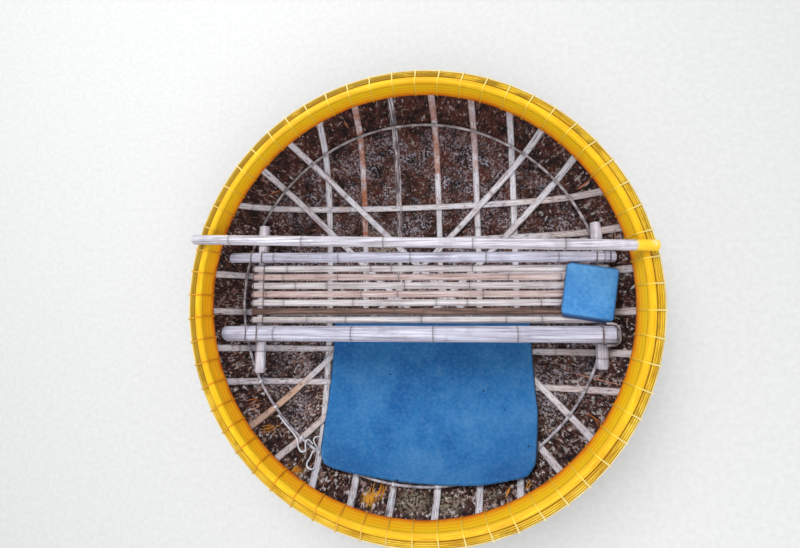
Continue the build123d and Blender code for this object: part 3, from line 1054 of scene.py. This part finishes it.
# The rim
def rim_ring(name, section, edge, lumps, seed):
    """A strip round the rim from corners (out, up) in the rim's section."""
    made = spun(name, [rim_spot(out, up) for out, up in section], closed=True)
    soften(made, edge)
    roughen(made, lumps, 0.16, seed)
    return smooth(made)


def rim_map(place):
    """Distances out from the mouth and up the leaning wall, of a place on the rim."""
    past = hypot(place.x, place.y) - mouth_radius
    rise = place.z - rim_height
    return past * cos(lean) - rise * sin(lean), past * sin(lean) + rise * cos(lean)


def make_inner_strips():
    inner_face = -clearance - inner_strip_thickness
    edge = 0.0035
    edge_bow = 0.0006
    side_bow = 0.0004
    pitch = (strip_high - strip_low) / inner_strip_count
    rings = []
    for number in range(inner_strip_count):
        base = strip_low + number * pitch
        top = base + pitch - clearance
        section = [(-clearance, base), (-clearance, top), (inner_face + edge_bow, top),
                   (inner_face + side_bow, top - edge), (inner_face, (base + top) / 2),
                   (inner_face + side_bow, base + edge), (inner_face + edge_bow, base)]
        rings.append(rim_ring("inner_strip", section, 0.0010, 0.0008, number))
    made = joined("rim_inner", rings)
    lay_map(made, rim_map)
    put(made, inner_strip_finish(), "rim_paint", "rim_inner_strips")


def cap_arch(gap, steps):
    """Points of the cap's round back, this far outside it, from the inner to the outer side."""
    middle = (cap_inner + cap_outer) / 2
    half = (cap_outer - cap_inner) / 2 + gap
    base = strip_high + clearance + cap_edge
    return arc(middle, base, half, pi, 0.0, steps, cap_height - cap_edge + gap)


def make_cap():
    base = strip_high + clearance
    section = [(cap_outer, base), (cap_inner, base), *cap_arch(0.0, 14)]
    made = rim_ring("rim_band", section, 0.0008, 0.0004, 9)
    lay_map(made, rim_map)
    put(made, cap_finish(), "rim_paint", "rim_cap")


def outer_strip_top(number):
    """How far up the wall the top of an outer strip is: the first is under the cap, the others beside it."""
    if number == 0:
        return strip_high
    return strip_high + outer_strip_rise - (number - 1) * outer_strip_drop


def make_outer_strips():
    outer_face = hull_thickness + clearance
    edge = 0.0025
    crown = 0.0018
    crown_drop = 0.0004
    rings = []
    for number in range(outer_strip_count):
        out = outer_face + number * (outer_strip_thickness + outer_strip_gap)
        top = outer_strip_top(number)
        side = out + outer_strip_thickness
        section = [(out, strip_low), (side, strip_low), (side, top - edge), (side - crown, top - crown_drop),
                   ((out + side) / 2, top), (out + crown, top - crown_drop), (out, top - edge)]
        rings.append(rim_ring("outer_strip", section, 0.0006, 0.0005, 20 + number))
    made = joined("rim_outer", rings)
    lay_map(made, rim_map)
    put(made, outer_strip_finish(), "rim_paint", "rim_outer_strips")


def make_bindings():
    """Two turns of cord side by side over the rim, at each of the bindings."""
    gap = clearance + binding_cord / 2
    foot = strip_low - gap
    side = hull_thickness + clearance + outer_strip_count * (outer_strip_thickness + outer_strip_gap) + gap
    top = outer_strip_top(outer_strip_count - 1) + gap
    cut = 0.002
    top_cut = 0.003
    line = [(-clearance - gap, foot), (cap_inner - gap + cut, foot), (cap_inner - gap, foot + cut),
            *cap_arch(gap, 15)[:-3], (side - top_cut, top), (side, top - top_cut), (side, foot + cut),
            (side - cut, foot), (hull_thickness + clearance + gap, foot)]
    spots = [rim_spot(out, up) for out, up in line]
    turns = []
    for shift in (-0.52 * binding_cord, 0.52 * binding_cord):
        line = [(radius, shift, height) for radius, height in spots]
        turns.append(tube("turn", line, binding_cord / 2, roundness=1))
    turn = joined("turn", turns)
    dice = random.Random(5)
    outward = Matrix.Translation((mouth_radius, 0, 0))
    inward = Matrix.Translation((-mouth_radius, 0, 0))
    places = []
    for number in range(binding_count):
        slant = outward @ turned(dice.uniform(-3, 3)) @ inward
        places.append(turned(binding_start + number * 360 / binding_count) @ slant)
    made = repeated("rim_cords", turn, places)
    lay_map(made, rim_map)
    put(made, painted_cord_finish(), "rim_cord", "rim_bindings")


# The laths
lath_top = rim_height + (strip_low - 0.003 - 2 * clearance) * cos(lean) - lath_thickness


def lath_spot(reach, distance, lift):
    """The point of a lath's middle line at a distance along its heading, on the bowl's surface."""
    height = 0.0
    for _ in range(40):
        side = distance * (fan_height - height) / (fan_height - lath_top)
        height = 0.5 * height + 0.5 * bowl_height(hypot(reach, side), lath_middle, lift)
    return Vector((reach, side, height))


def evenly(line, count):
    """Points evenly spaced along a line, one more than count."""
    lengths = [0.0]
    for here, after in zip(line, line[1:]):
        lengths.append(lengths[-1] + (after - here).length)
    points = []
    spot = 0
    for step in range(count + 1):
        target = lengths[-1] * step / count
        while spot < len(lengths) - 2 and lengths[spot + 1] < target:
            spot += 1
        share = (target - lengths[spot]) / (lengths[spot + 1] - lengths[spot])
        points.append(line[spot].lerp(line[spot + 1], share))
    return points


def line_length(line):
    """The length of a line through points."""
    return sum((after - here).length for here, after in zip(line, line[1:]))


def lath_path(distance, lift):
    """Points of a lath's middle line from one top end to the other, evenly spaced."""
    end = sqrt(bowl_radius(lath_top, lath_middle, lift) ** 2 - distance**2)
    fine = [lath_spot(end * sin(-pi / 2 + pi * step / 400), distance, lift) for step in range(401)]
    return evenly(fine, round(line_length(fine) / lath_step))


def flat_strip(name, length, width, thickness, steps):
    """A flat strip with rounded edges, lying along +X from the origin."""
    made = grid(name, steps, 4)
    bpy.ops.object.mode_set(mode="EDIT")
    bpy.ops.transform.resize(value=(length, width, 1), center_override=(0, 0, 0))
    bpy.ops.transform.translate(value=(length / 2, 0, thickness / 2))
    bpy.ops.object.mode_set(mode="OBJECT")
    thicken(made, thickness)
    return soften(made, 0.0011, 2, 60)


def joint_share(place, joints, reach=0.007):
    """How much of a joint a place along the grain has: 1 in the middle of it, 0 past its reach."""
    nearest = min(abs(place - joint) for joint in joints)
    return max(0.0, 1 - nearest / reach)


def drape(made, points, lift):
    """Bends a flat strip along a path on the bowl."""
    steps = len(points) - 1
    length = line_length(points)
    for point in made.data.vertices:
        share = min(max(point.co.x / length * steps, 0.0), steps - 0.000001)
        number = int(share)
        here, after = points[number], points[number + 1]
        spot = here.lerp(after, share - number)
        along = (points[min(number + 2, steps)] - points[max(number - 1, 0)]).normalized()
        up = bowl_inward(spot, lift)
        side = up.cross(along).normalized()
        point.co = spot + side * point.co.y + up * point.co.z


def stain_lath(made, name, family):
    """Stores how much pitch, brown stain and tan each place on a lath has."""
    low, pitch, brown, front_pitch = lath_stains.get(name, (0.0, light_stain, light_stain, light_stain))
    mark(made, "pitch", lambda place: pitch if place.y > low else front_pitch)
    mark(made, "brown", lambda place: brown if place.y > low else light_stain)
    left, right = lath_tans.get(name, lath_tans.get(family, (0.0, 0.0)))
    mark(made, "tan", lambda place: (left if place.x < 0 else right)
         * clamped((hypot(place.x, place.y) - 0.66) / 0.10))


def make_lath(family, heading, layer, number, distance, material):
    name = f"{family}_{number + 1}"
    lift = layer * lath_layer
    points = lath_path(distance, lift)
    length = line_length(points)
    dice = random.Random(name)
    made = flat_strip("lath_" + name, length, lath_width, lath_thickness, len(points) - 1)
    first = dice.uniform(0.05, 0.25)
    joints = [first + lath_joint_pitch * step + dice.uniform(-0.02, 0.02) for step in range(7)]
    for point in made.data.vertices:
        bump = joint_share(point.co.x, joints, 0.012)
        edge = noise.noise(Vector((point.co.x * 9, distance * 50, point.co.y * 40)))
        point.co.y *= 1 - 0.05 * abs(edge)
        point.co.z += 0.0009 * bump * (1 if point.co.z > 0 else 0)
    lay_map(made, lambda place: (place.x + distance * 31, place.y + layer * 3.7))
    mark(made, "joint", lambda place: joint_share(place.x, joints))
    mark(made, "rim", lambda place: max(0.0, abs(place.y) / (lath_width / 2) - 0.80) * 5)
    drape(made, points, lift)
    made.data.transform(turned(heading))
    stain_lath(made, name, family)
    smooth(made, 40)
    put(made, material, "lath_bamboo", "lath_" + name)


def make_laths():
    material = lath_finish()
    for family, heading, layer, shares in lath_families:
        for number, share in enumerate(shares):
            make_lath(family, heading, layer, number, share * mouth_radius, material)


# The hoop and its lashings
def hoop_place():
    """Radius of the hoop and the angle of the wall behind it."""
    radius = bowl_radius(hoop_height, lath_inside + clearance + hoop_radius, top_lift)
    inward = bowl_inward(Vector((radius, 0, hoop_height)), top_lift)
    return radius, atan2(-inward.z, -inward.x)


def make_hoop():
    radius, _ = hoop_place()
    waver = 0.0022
    wear = 0.0012
    made = spun("hoop", arc(radius, hoop_height, hoop_radius * 0.94, 0.0, 2 * pi, 10)[:-1], closed=True)
    for point in made.data.vertices:
        around = atan2(point.co.y, point.co.x)
        outward = Vector((cos(around), sin(around), 0))
        point.co.z += waver * noise.noise(outward * 1.6 * 2.1)
        point.co -= wear * abs(noise.noise(outward * 1.6 * 3.3)) * outward
    smooth(made)
    put(made, cane_finish(), "cane", "chine_hoop")


def make_hoop_lashings(material):
    """Four turns of cord round the hoop at each end of each lath."""
    radius, tilt = hoop_place()
    reach = hoop_radius + clearance + lashing_cord / 2
    past = 0.5
    turns = []
    for number in range(4):
        shift = (number - 1.5) * lashing_cord * 1.12
        points = []
        for out, up in arc(0.0, 0.0, reach, pi / 2 - past, 3 * pi / 2 + past, 14):
            points.append((radius + out * cos(tilt) - up * sin(tilt), shift + 0.0012 * out / reach,
                           hoop_height + out * sin(tilt) + up * cos(tilt)))
        turns.append(tube("turn", points, lashing_cord / 2, roundness=1))
    turn = joined("turn", turns)
    places = []
    for _, heading, _, shares in lath_families:
        for share in shares:
            side = share * mouth_radius * (fan_height - hoop_height) / (fan_height - lath_top)
            across = degrees(asin(side / radius))
            places += [turned(heading + across), turned(heading + 180 - across)]
    put(repeated("hoop_cords", turn, places), material, "white_cord", "hoop_lashings")


# The tied cords
def route_line(name, route):
    """Points along the smooth line through a cord's route."""
    guide, spline = curve_through(name, "NURBS", route)
    spline.order_u = 3
    spline.resolution_u = 8
    spline.use_endpoint_u = True
    line = bpy.data.meshes.new_from_object(guide.evaluated_get(bpy.context.evaluated_depsgraph_get()))
    points = [point.co.copy() for point in line.vertices]
    bpy.data.objects.remove(guide)
    bpy.data.meshes.remove(line)
    return points


def rope(name, points, diameter, turn_length):
    """Three strands twisted round a line."""
    strand = diameter * 0.32
    offset = diameter * 0.28
    strands = []
    for number in range(3):
        run = 0.0
        spots = []
        side = (points[1] - points[0]).orthogonal().normalized()
        for here, before, after in zip(points, points[:1] + points[:-1], points[1:] + points[-1:]):
            run += (here - before).length
            along = (after - before).normalized()
            side = (side - along * side.dot(along)).normalized()
            up = along.cross(side)
            angle = 2 * pi * (run / turn_length + number / 3)
            spots.append(here + offset * (side * cos(angle) + up * sin(angle)))
        strands.append(tube("strand", spots, strand, roundness=2))
    return joined(name, strands)


def knot(name, place, size):
    """A small overhand knot, as two crossed turns of cord."""
    points = [(x, y, 0.0) for x, y in arc(0.0, 0.0, size, 0.0, 2 * pi, 14)[:-1]]
    loops = []
    for tilt, turn in ((0.5, 0.3), (1.3, 1.9)):
        loop = tube("loop", points, tie_diameter * 0.4, closed=True)
        crossed = Matrix.Rotation(turn, 4, "Z") @ Matrix.Rotation(tilt, 4, "X")
        loop.data.transform(Matrix.Translation(place) @ crossed)
        loops.append(loop)
    return joined(name, loops)


def make_tie_cords(material):
    for name, route in tie_routes.items():
        points = route_line(name, route)
        made = rope(name + "_rope", points, tie_diameter, tie_turn)
        if name == "tie_cord_2":
            end = knot("tie_knot", points[-1] + Vector((0.001, 0.0, 0.002)), 0.0042)
            put(end, material, "white_cord")
        put(made, material, "white_cord", name)


# The bench
def pole_line(length, radius, joints, end_round):
    """Half outline of a hollow pole, with a ridge and a groove at each joint and a rounded last end."""
    bore = radius - max(radius * 0.30, end_round + 0.001)
    depth = 0.03
    body = radius * pole_body
    outline = [(0.0, depth), (bore, depth), (bore, 0.0), (body - 0.003, 0.0), (body, 0.003)]
    for joint in sorted(joints):
        if joint_margin < joint < length - joint_margin:
            outline += [(radius * share, joint + step) for step, share in pole_joint]
    outline += arc(body - end_round, length - end_round, end_round, 0.0, pi / 2, 5)
    return outline + [(bore, length), (bore, length - depth), (0.0, length - depth)]


def bamboo_pole(name, first, last, radius, joints, end_round=0.003):
    """A pole from one point to another, with joints at these distances from the first."""
    length = (last - first).length
    made = spun(name, pole_line(length, radius, joints, end_round), steps=28)
    mark(made, "joint", lambda place: joint_share(place.z, joints, groove_reach))
    aimed = Vector((0, 0, 1)).rotation_difference(last - first).to_matrix().to_4x4()
    made.data.transform(Matrix.Translation(first) @ aimed)
    roughen(made, 0.0006, 0.12, radius * 900)
    return smooth(made, 40)


def fit_to_wall(made, axis, inset):
    """Moves the points of a pole that lie past the wall back along the pole, to this far inside the wall."""
    for point in made.data.vertices:
        reach = bowl_radius(point.co.z, inset)
        if hypot(point.co.x, point.co.y) > reach:
            point.co[axis] = copysign(sqrt(reach**2 - point.co[1 - axis] ** 2), point.co[axis])


def node_ends(node, axis):
    """Middle points of the two ends of a node's box along an axis."""
    low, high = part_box(node)
    first = (low + high) / 2
    last = first.copy()
    first[axis] = low[axis]
    last[axis] = high[axis]
    return first, last


def make_poles():
    pale = bamboo_finish("pale_pole", (3.0, 110.0, 110.0),
                         ((134, 128, 144), (185, 184, 202), (218, 219, 236)), (70, 52, 52)).done()
    grey = bamboo_finish("grey_pole", (110.0, 3.0, 110.0),
                         ((150, 136, 142), (210, 202, 212), (238, 234, 242)), (58, 44, 44)).done()
    for node, _, radius, heading, joints in seat_poles:
        first, last = node_ends(node, 0)
        slant = (last.x - first.x) / 2 * tan(radians(heading))
        first.y -= slant
        last.y += slant
        made = bamboo_pole(node[5:], first, last, radius, joints, seat_pole_end_round)
        fit_to_wall(made, 0, 4 * clearance)
        put(made, pale, "pole_bamboo", node)
    for node, joints in bearer_joints.items():
        first, last = node_ends(node, 1)
        made = bamboo_pole(node + "_pole", first, last, bearer_radius, joints)
        fit_to_wall(made, 1, lath_inside + clearance)
        put(made, grey, "pole_bamboo", node)


def make_carry_pole():
    heading = radians(carry_heading)
    low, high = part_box("carry_pole")
    middle = (low + high) / 2
    reach = (high.x - low.x - 2 * carry_radius * abs(sin(heading))) / 2 / cos(heading)
    half = Vector((cos(heading), sin(heading), 0)) * reach
    made = bamboo_pole("carrying_pole", middle - half, middle + half, carry_radius, carry_joints)
    put(made, carry_finish(), "pole_bamboo", "carry_pole")


def slat_section():
    """Corners (across, up) of a split of bamboo, round above and flat below."""
    half = slat_width / 2
    rise = slat_height - slat_edge
    centre = (rise**2 - half**2) / (2 * rise) + slat_edge
    edge_angle = atan2(slat_edge - centre, half)
    return [(-half, 0.0), (half, 0.0), *arc(0.0, centre, slat_height - centre, edge_angle, pi - edge_angle, 8)]


def slat_heading(number):
    """Heading of a slat in degrees. It changes evenly from the first slat to the last."""
    first, last = slat_headings
    return first + (last - first) * number / (slat_count - 1)


def slat_sizes(length, joints):
    """The share of its full size that a slat has at each of these distances from its left end."""
    sizes = {0.0: 0.93, 0.003: 0.985, length - 0.003: 0.985, length: 0.93}
    for joint in joints:
        if joint_margin < joint < length - joint_margin:
            sizes.update({joint + step: share for step, share in slat_joint})
    return sizes


def extruded(name, section, sizes):
    """A closed section extruded along +X, with a share of its full size at each distance."""
    made = drawn_line(name, section, closed=True)
    bpy.ops.object.mode_set(mode="EDIT")
    bpy.ops.mesh.select_all(action="SELECT")
    bpy.ops.transform.rotate(value=-pi / 2, orient_axis="Z", center_override=(0, 0, 0))
    bpy.ops.mesh.edge_face_add()
    before = 0.0
    size = 1.0
    for place in sorted(sizes):
        if place > 0:
            bpy.ops.mesh.extrude_region_move(TRANSFORM_OT_translate={"value": (place - before, 0, 0)})
        change = sizes[place] / size
        bpy.ops.transform.resize(value=(1, change, change), center_override=(place, 0, 0))
        before = place
        size = sizes[place]
    bpy.ops.mesh.select_all(action="SELECT")
    bpy.ops.mesh.normals_make_consistent(inside=False)
    bpy.ops.object.mode_set(mode="OBJECT")
    return made


def make_slat(number, material):
    """One slat from end to end, with a swelling at each joint."""
    low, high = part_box(f"slat_{number + 1}")
    length = high.x - low.x
    dice = random.Random(40 + number)
    joints = [dice.uniform(0.06, 0.3) + slat_joint_pitch * step for step in range(6)]
    made = extruded(f"slat_{number + 1}_split", slat_section(), slat_sizes(length, joints))
    mark(made, "joint", lambda place: joint_share(place.x, joints, groove_reach))
    middle = Matrix.Translation((0, (low.y + high.y) / 2, low.z))
    left_end = Matrix.Translation((low.x, 0, 0))
    made.data.transform(middle @ turned(slat_heading(number)) @ left_end)
    roughen(made, 0.0006, 0.10, number + 60)
    smooth(made, 45)
    put(made, material, "slat_bamboo", f"slat_{number + 1}")


def make_slats():
    materials = {}
    for name, *tones in (
        ("pale", (150, 138, 138), (200, 192, 194), (230, 226, 228)),
        ("pinkish", (146, 116, 110), (192, 168, 164), (222, 206, 204)),
        ("brown", (62, 44, 38), (98, 72, 62), (138, 110, 98)),
    ):
        materials[name] = bamboo_finish(f"{name}_slat", (4.0, 160.0, 60.0), tones, (60, 50, 48)).done()
    for number, name in enumerate(("pale", "pinkish", "pale", "pinkish", "pale", "brown", "pale")):
        make_slat(number, materials[name])


def square_turn(half_across, top, half_along, cord, shift):
    """One turn of cord round a crossing: over the upper piece and under the bearer, with round corners."""
    away = clearance + cord / 2
    x = half_across + away
    y = half_along + away
    high = top + away
    low = -2 * bearer_radius - away
    bow = cord * 0.9
    corners = [(x, -y, high), (x, y, high), (x, y, low), (-x, y, low), (-x, y, high), (-x, -y, high),
               (-x, -y, low), (x, -y, low)]
    corners = [Vector(corner) for corner in corners]
    slide = Vector((shift, shift * 0.6, 0))
    points = []
    for before, here, after in zip(corners[-1:] + corners[:-1], corners, corners[1:] + corners[:1]):
        points.append(here + (before - here).normalized() * bow + slide)
        points.append(here + (after - here).normalized() * bow + slide)
    return tube("turn", points, cord / 2, closed=True, roundness=1)


def crossings(place, heading):
    """Where a piece at this distance to the back lies over the two bearers, with its heading."""
    spots = []
    for node in bearer_joints:
        x = sum(corner.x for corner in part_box(node)) / 2
        spots.append((Vector((x, place + x * tan(radians(heading)), bench_height + clearance)), heading))
    return spots


def lashings(name, spots, half_across, top, half_along, cord):
    """Two turns of cord side by side round each crossing."""
    turns = [square_turn(half_across, top, half_along, cord, side * cord * 1.05) for side in (-0.5, 0.5)]
    places = [Matrix.Translation(spot) @ turned(heading) for spot, heading in spots]
    return repeated(name, joined("lashing", turns), places)


def make_bench_lashings(material):
    across = bearer_radius + clearance
    parts = []
    for _, place, radius, heading, _ in seat_poles:
        spots = crossings(place, heading)
        parts.append(lashings("turns", spots, across, 2 * radius, radius + clearance, lashing_cord))
    put(joined("pole_cords", parts), material, "dark_cord", "pole_lashings")
    spots = []
    for number in range(slat_count):
        spots += crossings(slat_first - number * slat_pitch, slat_heading(number))
    made = lashings("slat_cords", spots, bearer_radius, slat_height, slat_width / 2, slat_cord)
    put(made, material, "dark_cord", "slat_lashings")


def make_strap(material):
    """A bent cane round the end of the front pole."""
    low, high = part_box("end_strap")
    x = high.x - strap_radius
    root = low.x + strap_radius
    back = high.y - strap_radius
    front = low.y + strap_radius
    height = high.z - strap_radius
    points = [(root, back, height)]
    for centre, first in ((back - strap_bend, pi / 2), (front + strap_bend, 0.0)):
        bend = arc(x - strap_bend, centre, strap_bend, first, first - pi / 2, 6)
        points += [(right, along, height) for right, along in bend]
    bend = arc(root + strap_leg_bend, height - strap_leg_bend, strap_leg_bend, pi / 2, pi, 6)
    points += [(right, front, up) for right, up in bend]
    points.append((root, front, low.z))
    made = tube("bent_cane", points, strap_radius, roundness=3)
    roughen(made, 0.0008, 0.03, 77)
    put(made, material, "cane", "end_strap")


# The soft pieces
def round_pad_corner(x, y):
    """The place on the pad for a place on the square board that it starts from."""
    straight_x = pad_length / 2 - pad_corner
    straight_y = pad_width / 2 - pad_corner
    past_x = abs(x) - straight_x
    past_y = abs(y) - straight_y
    if past_x <= 0 or past_y <= 0:
        return x, y
    pull = max(past_x, past_y) / hypot(past_x, past_y)
    return copysign(straight_x + past_x * pull, x), copysign(straight_y + past_y * pull, y)


def sink_pad_point(spot):
    """Dents and crowns the pad's top, and lets the underside hang back a little at the front."""
    half_y = pad_width / 2
    if spot.z > 0:
        dent = max(0.0, noise.noise(Vector((spot.x * 9, spot.y * 9, 4.4))))
        border = min(pad_length / 2 - abs(spot.x), half_y - abs(spot.y))
        spot.z -= pad_sink + pad_dent * dent
        for edge, (depth, reach) in ((border, pad_border), (half_y + spot.y, pad_front)):
            spot.z -= depth * max(0.0, 1 - edge / reach) ** 2
    elif spot.y < pad_droop - half_y:
        spot.y -= pad_droop * (0.5 - spot.z / pad_thickness)


def make_pad():
    """A foam board with rounded corners, a little crowned and dented."""
    low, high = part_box("seat_pad")
    made = grid("foam_pad", 36, 40)
    for point in made.data.vertices:
        place = round_pad_corner(point.co.x * pad_length, point.co.y * pad_width)
        point.co = Vector((*place, pad_thickness / 2))
    thicken(made, pad_thickness)
    soften(made, 0.005, 3, 60)
    for point in made.data.vertices:
        sink_pad_point(point.co)
    mark(made, "edge", pad_edge_shade)
    made.data.transform(Matrix.Translation((low + high) / 2) @ turned(pad_turn))
    smooth(made, 50)
    material = foam_finish("seat_foam", ((44, 116, 184), (64, 136, 202), (88, 156, 214)), (124, 180, 226), 0.60,
                           (12, 46, 96), 0.0)
    put(made, material, "seat_foam", "seat_pad")


def pad_edge_shade(place):
    """Painted shade: dark on the pad's sides and in a line along its back, right and front edges."""
    if place.z < pad_thickness * 0.15:
        return 0.85
    back = 1.5 - (pad_width / 2 - place.y) / 0.006
    right = 1.5 - (pad_length / 2 - place.x) / 0.006
    front = 1.6 - (pad_width / 2 + place.y) / 0.008
    return 0.7 * clamped(max(back, right, front))


def mat_front(x):
    """Height of the mat's front edge on the wall, on an arc through its two ends and its middle."""
    ends = (mat_left_corner, mat_front_middle, mat_right_corner)
    (x1, z1), (x2, z2), (x3, z3) = ends
    turn = 2 * (x1 * (z2 - z3) + x2 * (z3 - z1) + x3 * (z1 - z2))
    squares = [place**2 + height**2 for place, height in ends]
    centre_x = (squares[0] * (z2 - z3) + squares[1] * (z3 - z1) + squares[2] * (z1 - z2)) / turn
    centre_z = (squares[0] * (x3 - x2) + squares[1] * (x1 - x3) + squares[2] * (x2 - x1)) / turn
    radius = hypot(x1 - centre_x, z1 - centre_z)
    return centre_z - sqrt(radius**2 - (x - centre_x) ** 2)


def mat_side(bottom, corner, height):
    """How far to the right a side of the mat is at a height: upright at first, then leaning to its corner."""
    share = max(0.0, (height - mat_bend_height) / (corner[1] - mat_bend_height))
    return bottom + (corner[0] - bottom) * share


def mat_inset():
    """How far inside the wall the mat's underside is: it rests on the laths and clears the hoop."""
    radius, _ = hoop_place()
    room = hoop_radius + lashing_cord + 2 * clearance + bilge_margin
    inset = lath_inside + clearance + 2 * hoop_radius
    for _ in range(30):
        lift = top_lift + lath_inside + clearance - inset
        reach = bowl_radius(hoop_height, inset, lift)
        inward = bowl_inward(Vector((reach, 0, hoop_height)), lift)
        inset += room - (radius - reach) * hypot(inward.x, inward.y)
    return inset, lift


def mat_column(share, inset, lift):
    """Points of the mat from its back edge to its front edge, at a share of its width."""
    height = bowl_height(abs(mat_left), inset, lift)
    place = Vector((0, mat_back, height))
    along = Vector((0, -1, 0))
    line = []
    while True:
        for _ in range(6):
            left = mat_side(mat_left, mat_left_corner, place.z)
            right = mat_side(mat_right, mat_right_corner, place.z)
            place.x = left + share * (right - left)
            place.z = 0.5 * place.z + 0.5 * bowl_height(hypot(place.x, place.y), inset, lift)
        line.append(place.copy())
        if place.z >= mat_front(place.x) and len(line) > 2:
            break
        if len(line) > 1:
            along = (line[-1] - line[-2]).normalized()
        place = place + Vector((0, along.y, along.z)) * mat_step
    return evenly(line, mat_rows)


def make_mat():
    """A foam mat laid over the laths on the bottom and up the front wall."""
    outer, lift = mat_inset()
    inset = outer + mat_thickness
    lines = [mat_column(column / mat_columns, inset, lift) for column in range(mat_columns + 1)]
    made = grid("foam_mat", mat_columns, mat_rows)
    for point in made.data.vertices:
        column = round((point.co.x + 0.5) * mat_columns)
        row = round((0.5 - point.co.y) * mat_rows)
        point.co = lines[column][row]
    round_mat_corners(made, inset, lift)
    thicken(made, mat_thickness)
    soften(made, 0.0035, 2, 60)
    roughen(made, 0.0018, 0.11, 31)
    mark(made, "edge", mat_edge_shade)
    smooth(made, 50)
    material = foam_finish("mat_foam", ((18, 96, 164), (36, 114, 178), (62, 128, 186)), (104, 152, 196), 0.58,
                           (14, 26, 54), 1.0)
    put(made, material, "mat_foam", "floor_mat")


def round_mat_corners(made, inset, lift):
    """Pulls the points beyond the mat's two front corners in to a quarter circle on the wall."""
    for side, bottom, corner in ((-1, mat_left, mat_left_corner), (1, mat_right, mat_right_corner)):
        centre_x = corner[0] - side * mat_corner
        centre_z = mat_front(centre_x) - mat_corner
        for point in made.data.vertices:
            past_x = (point.co.x - centre_x) * side
            past_z = point.co.z - centre_z
            if past_x <= 0 or past_z <= 0 or point.co.y > 0:
                continue
            across = past_x / ((mat_side(bottom, corner, point.co.z) - centre_x) * side)
            upward = past_z / (mat_front(point.co.x) - centre_z)
            pull = max(across, upward) / hypot(across, upward)
            point.co.x = centre_x + side * past_x * pull
            point.co.z = centre_z + past_z * pull
            point.co.y = -sqrt(bowl_radius(point.co.z, inset, lift) ** 2 - point.co.x**2)


def mat_edge_shade(place):
    """Painted shade on the mat's side edges."""
    left = place.x - mat_side(mat_left, mat_left_corner, place.z)
    right = mat_side(mat_right, mat_right_corner, place.z) - place.x
    return max(0.0, 1 - min(left, right) / 0.004) * 0.8


# Stage, light and camera
def make_floor():
    """A pale floor at the waterline, open where the hull goes through it."""
    inner = bowl_radius(0.0, -hull_thickness) + 0.003
    made = spun("floor", [(radius, 0.0) for radius in (inner, inner + 0.4, 6.0, 30.0)], steps=120)
    finish = Finish("pale_floor", 0.9)
    finish.colour = finish.ramp(finish.cloud(finish.place, 40.0, 3.0), (0.3, (214, 214, 213)),
                                (0.7, (222, 222, 221)))
    made.data.materials.append(finish.done())


def make_lights():
    world = bpy.data.worlds.new("sky")
    bpy.context.scene.world = world
    world.use_nodes = True
    background = world.node_tree.nodes["Background"]
    background.inputs["Color"].default_value = sky_colour
    background.inputs["Strength"].default_value = sky_strength
    for name, place, size, power in lamps:
        lamp = bpy.data.lights.new(name, "AREA")
        lamp.size = size
        lamp.energy = power
        holder = linked(name, lamp)
        holder.location = place
        holder.rotation_euler = (Vector((0, 0, 0.1)) - Vector(place)).to_track_quat("-Z", "Y").to_euler()


def make_camera():
    """The photograph's view, almost straight down from above the front of the bench."""
    lens = bpy.data.cameras.new("camera")
    lens.lens = camera_lens
    lens.sensor_width = camera_sensor
    holder = linked("camera", lens)
    right = Vector((cos(camera_roll), 0, sin(camera_roll)))
    up = Vector((-sin(camera_tip) * sin(camera_roll), cos(camera_tip), sin(camera_tip) * cos(camera_roll)))
    back = right.cross(up)
    turn = Matrix((right, up, back)).transposed().to_4x4()
    holder.matrix_world = Matrix.Translation(camera_place) @ turn
    bpy.context.scene.camera = holder


bpy.context.scene.view_settings.view_transform = "Standard"
make_camera()
make_tie_cords(cord_finish("white_cord", (250, 251, 255), (200, 200, 212)))
make_hull()
make_fibres()
make_inner_strips()
make_cap()
make_outer_strips()
make_bindings()
make_laths()
make_hoop()
make_hoop_lashings(cord_finish("hoop_cord", (246, 246, 250), (196, 194, 204), worn=(150, 138, 136)))
make_carry_pole()
make_poles()
make_slats()
make_bench_lashings(cord_finish("dark_cord", (112, 92, 86), (54, 40, 38)))
make_strap(cane_finish())
make_pad()
make_mat()
make_floor()
make_lights()
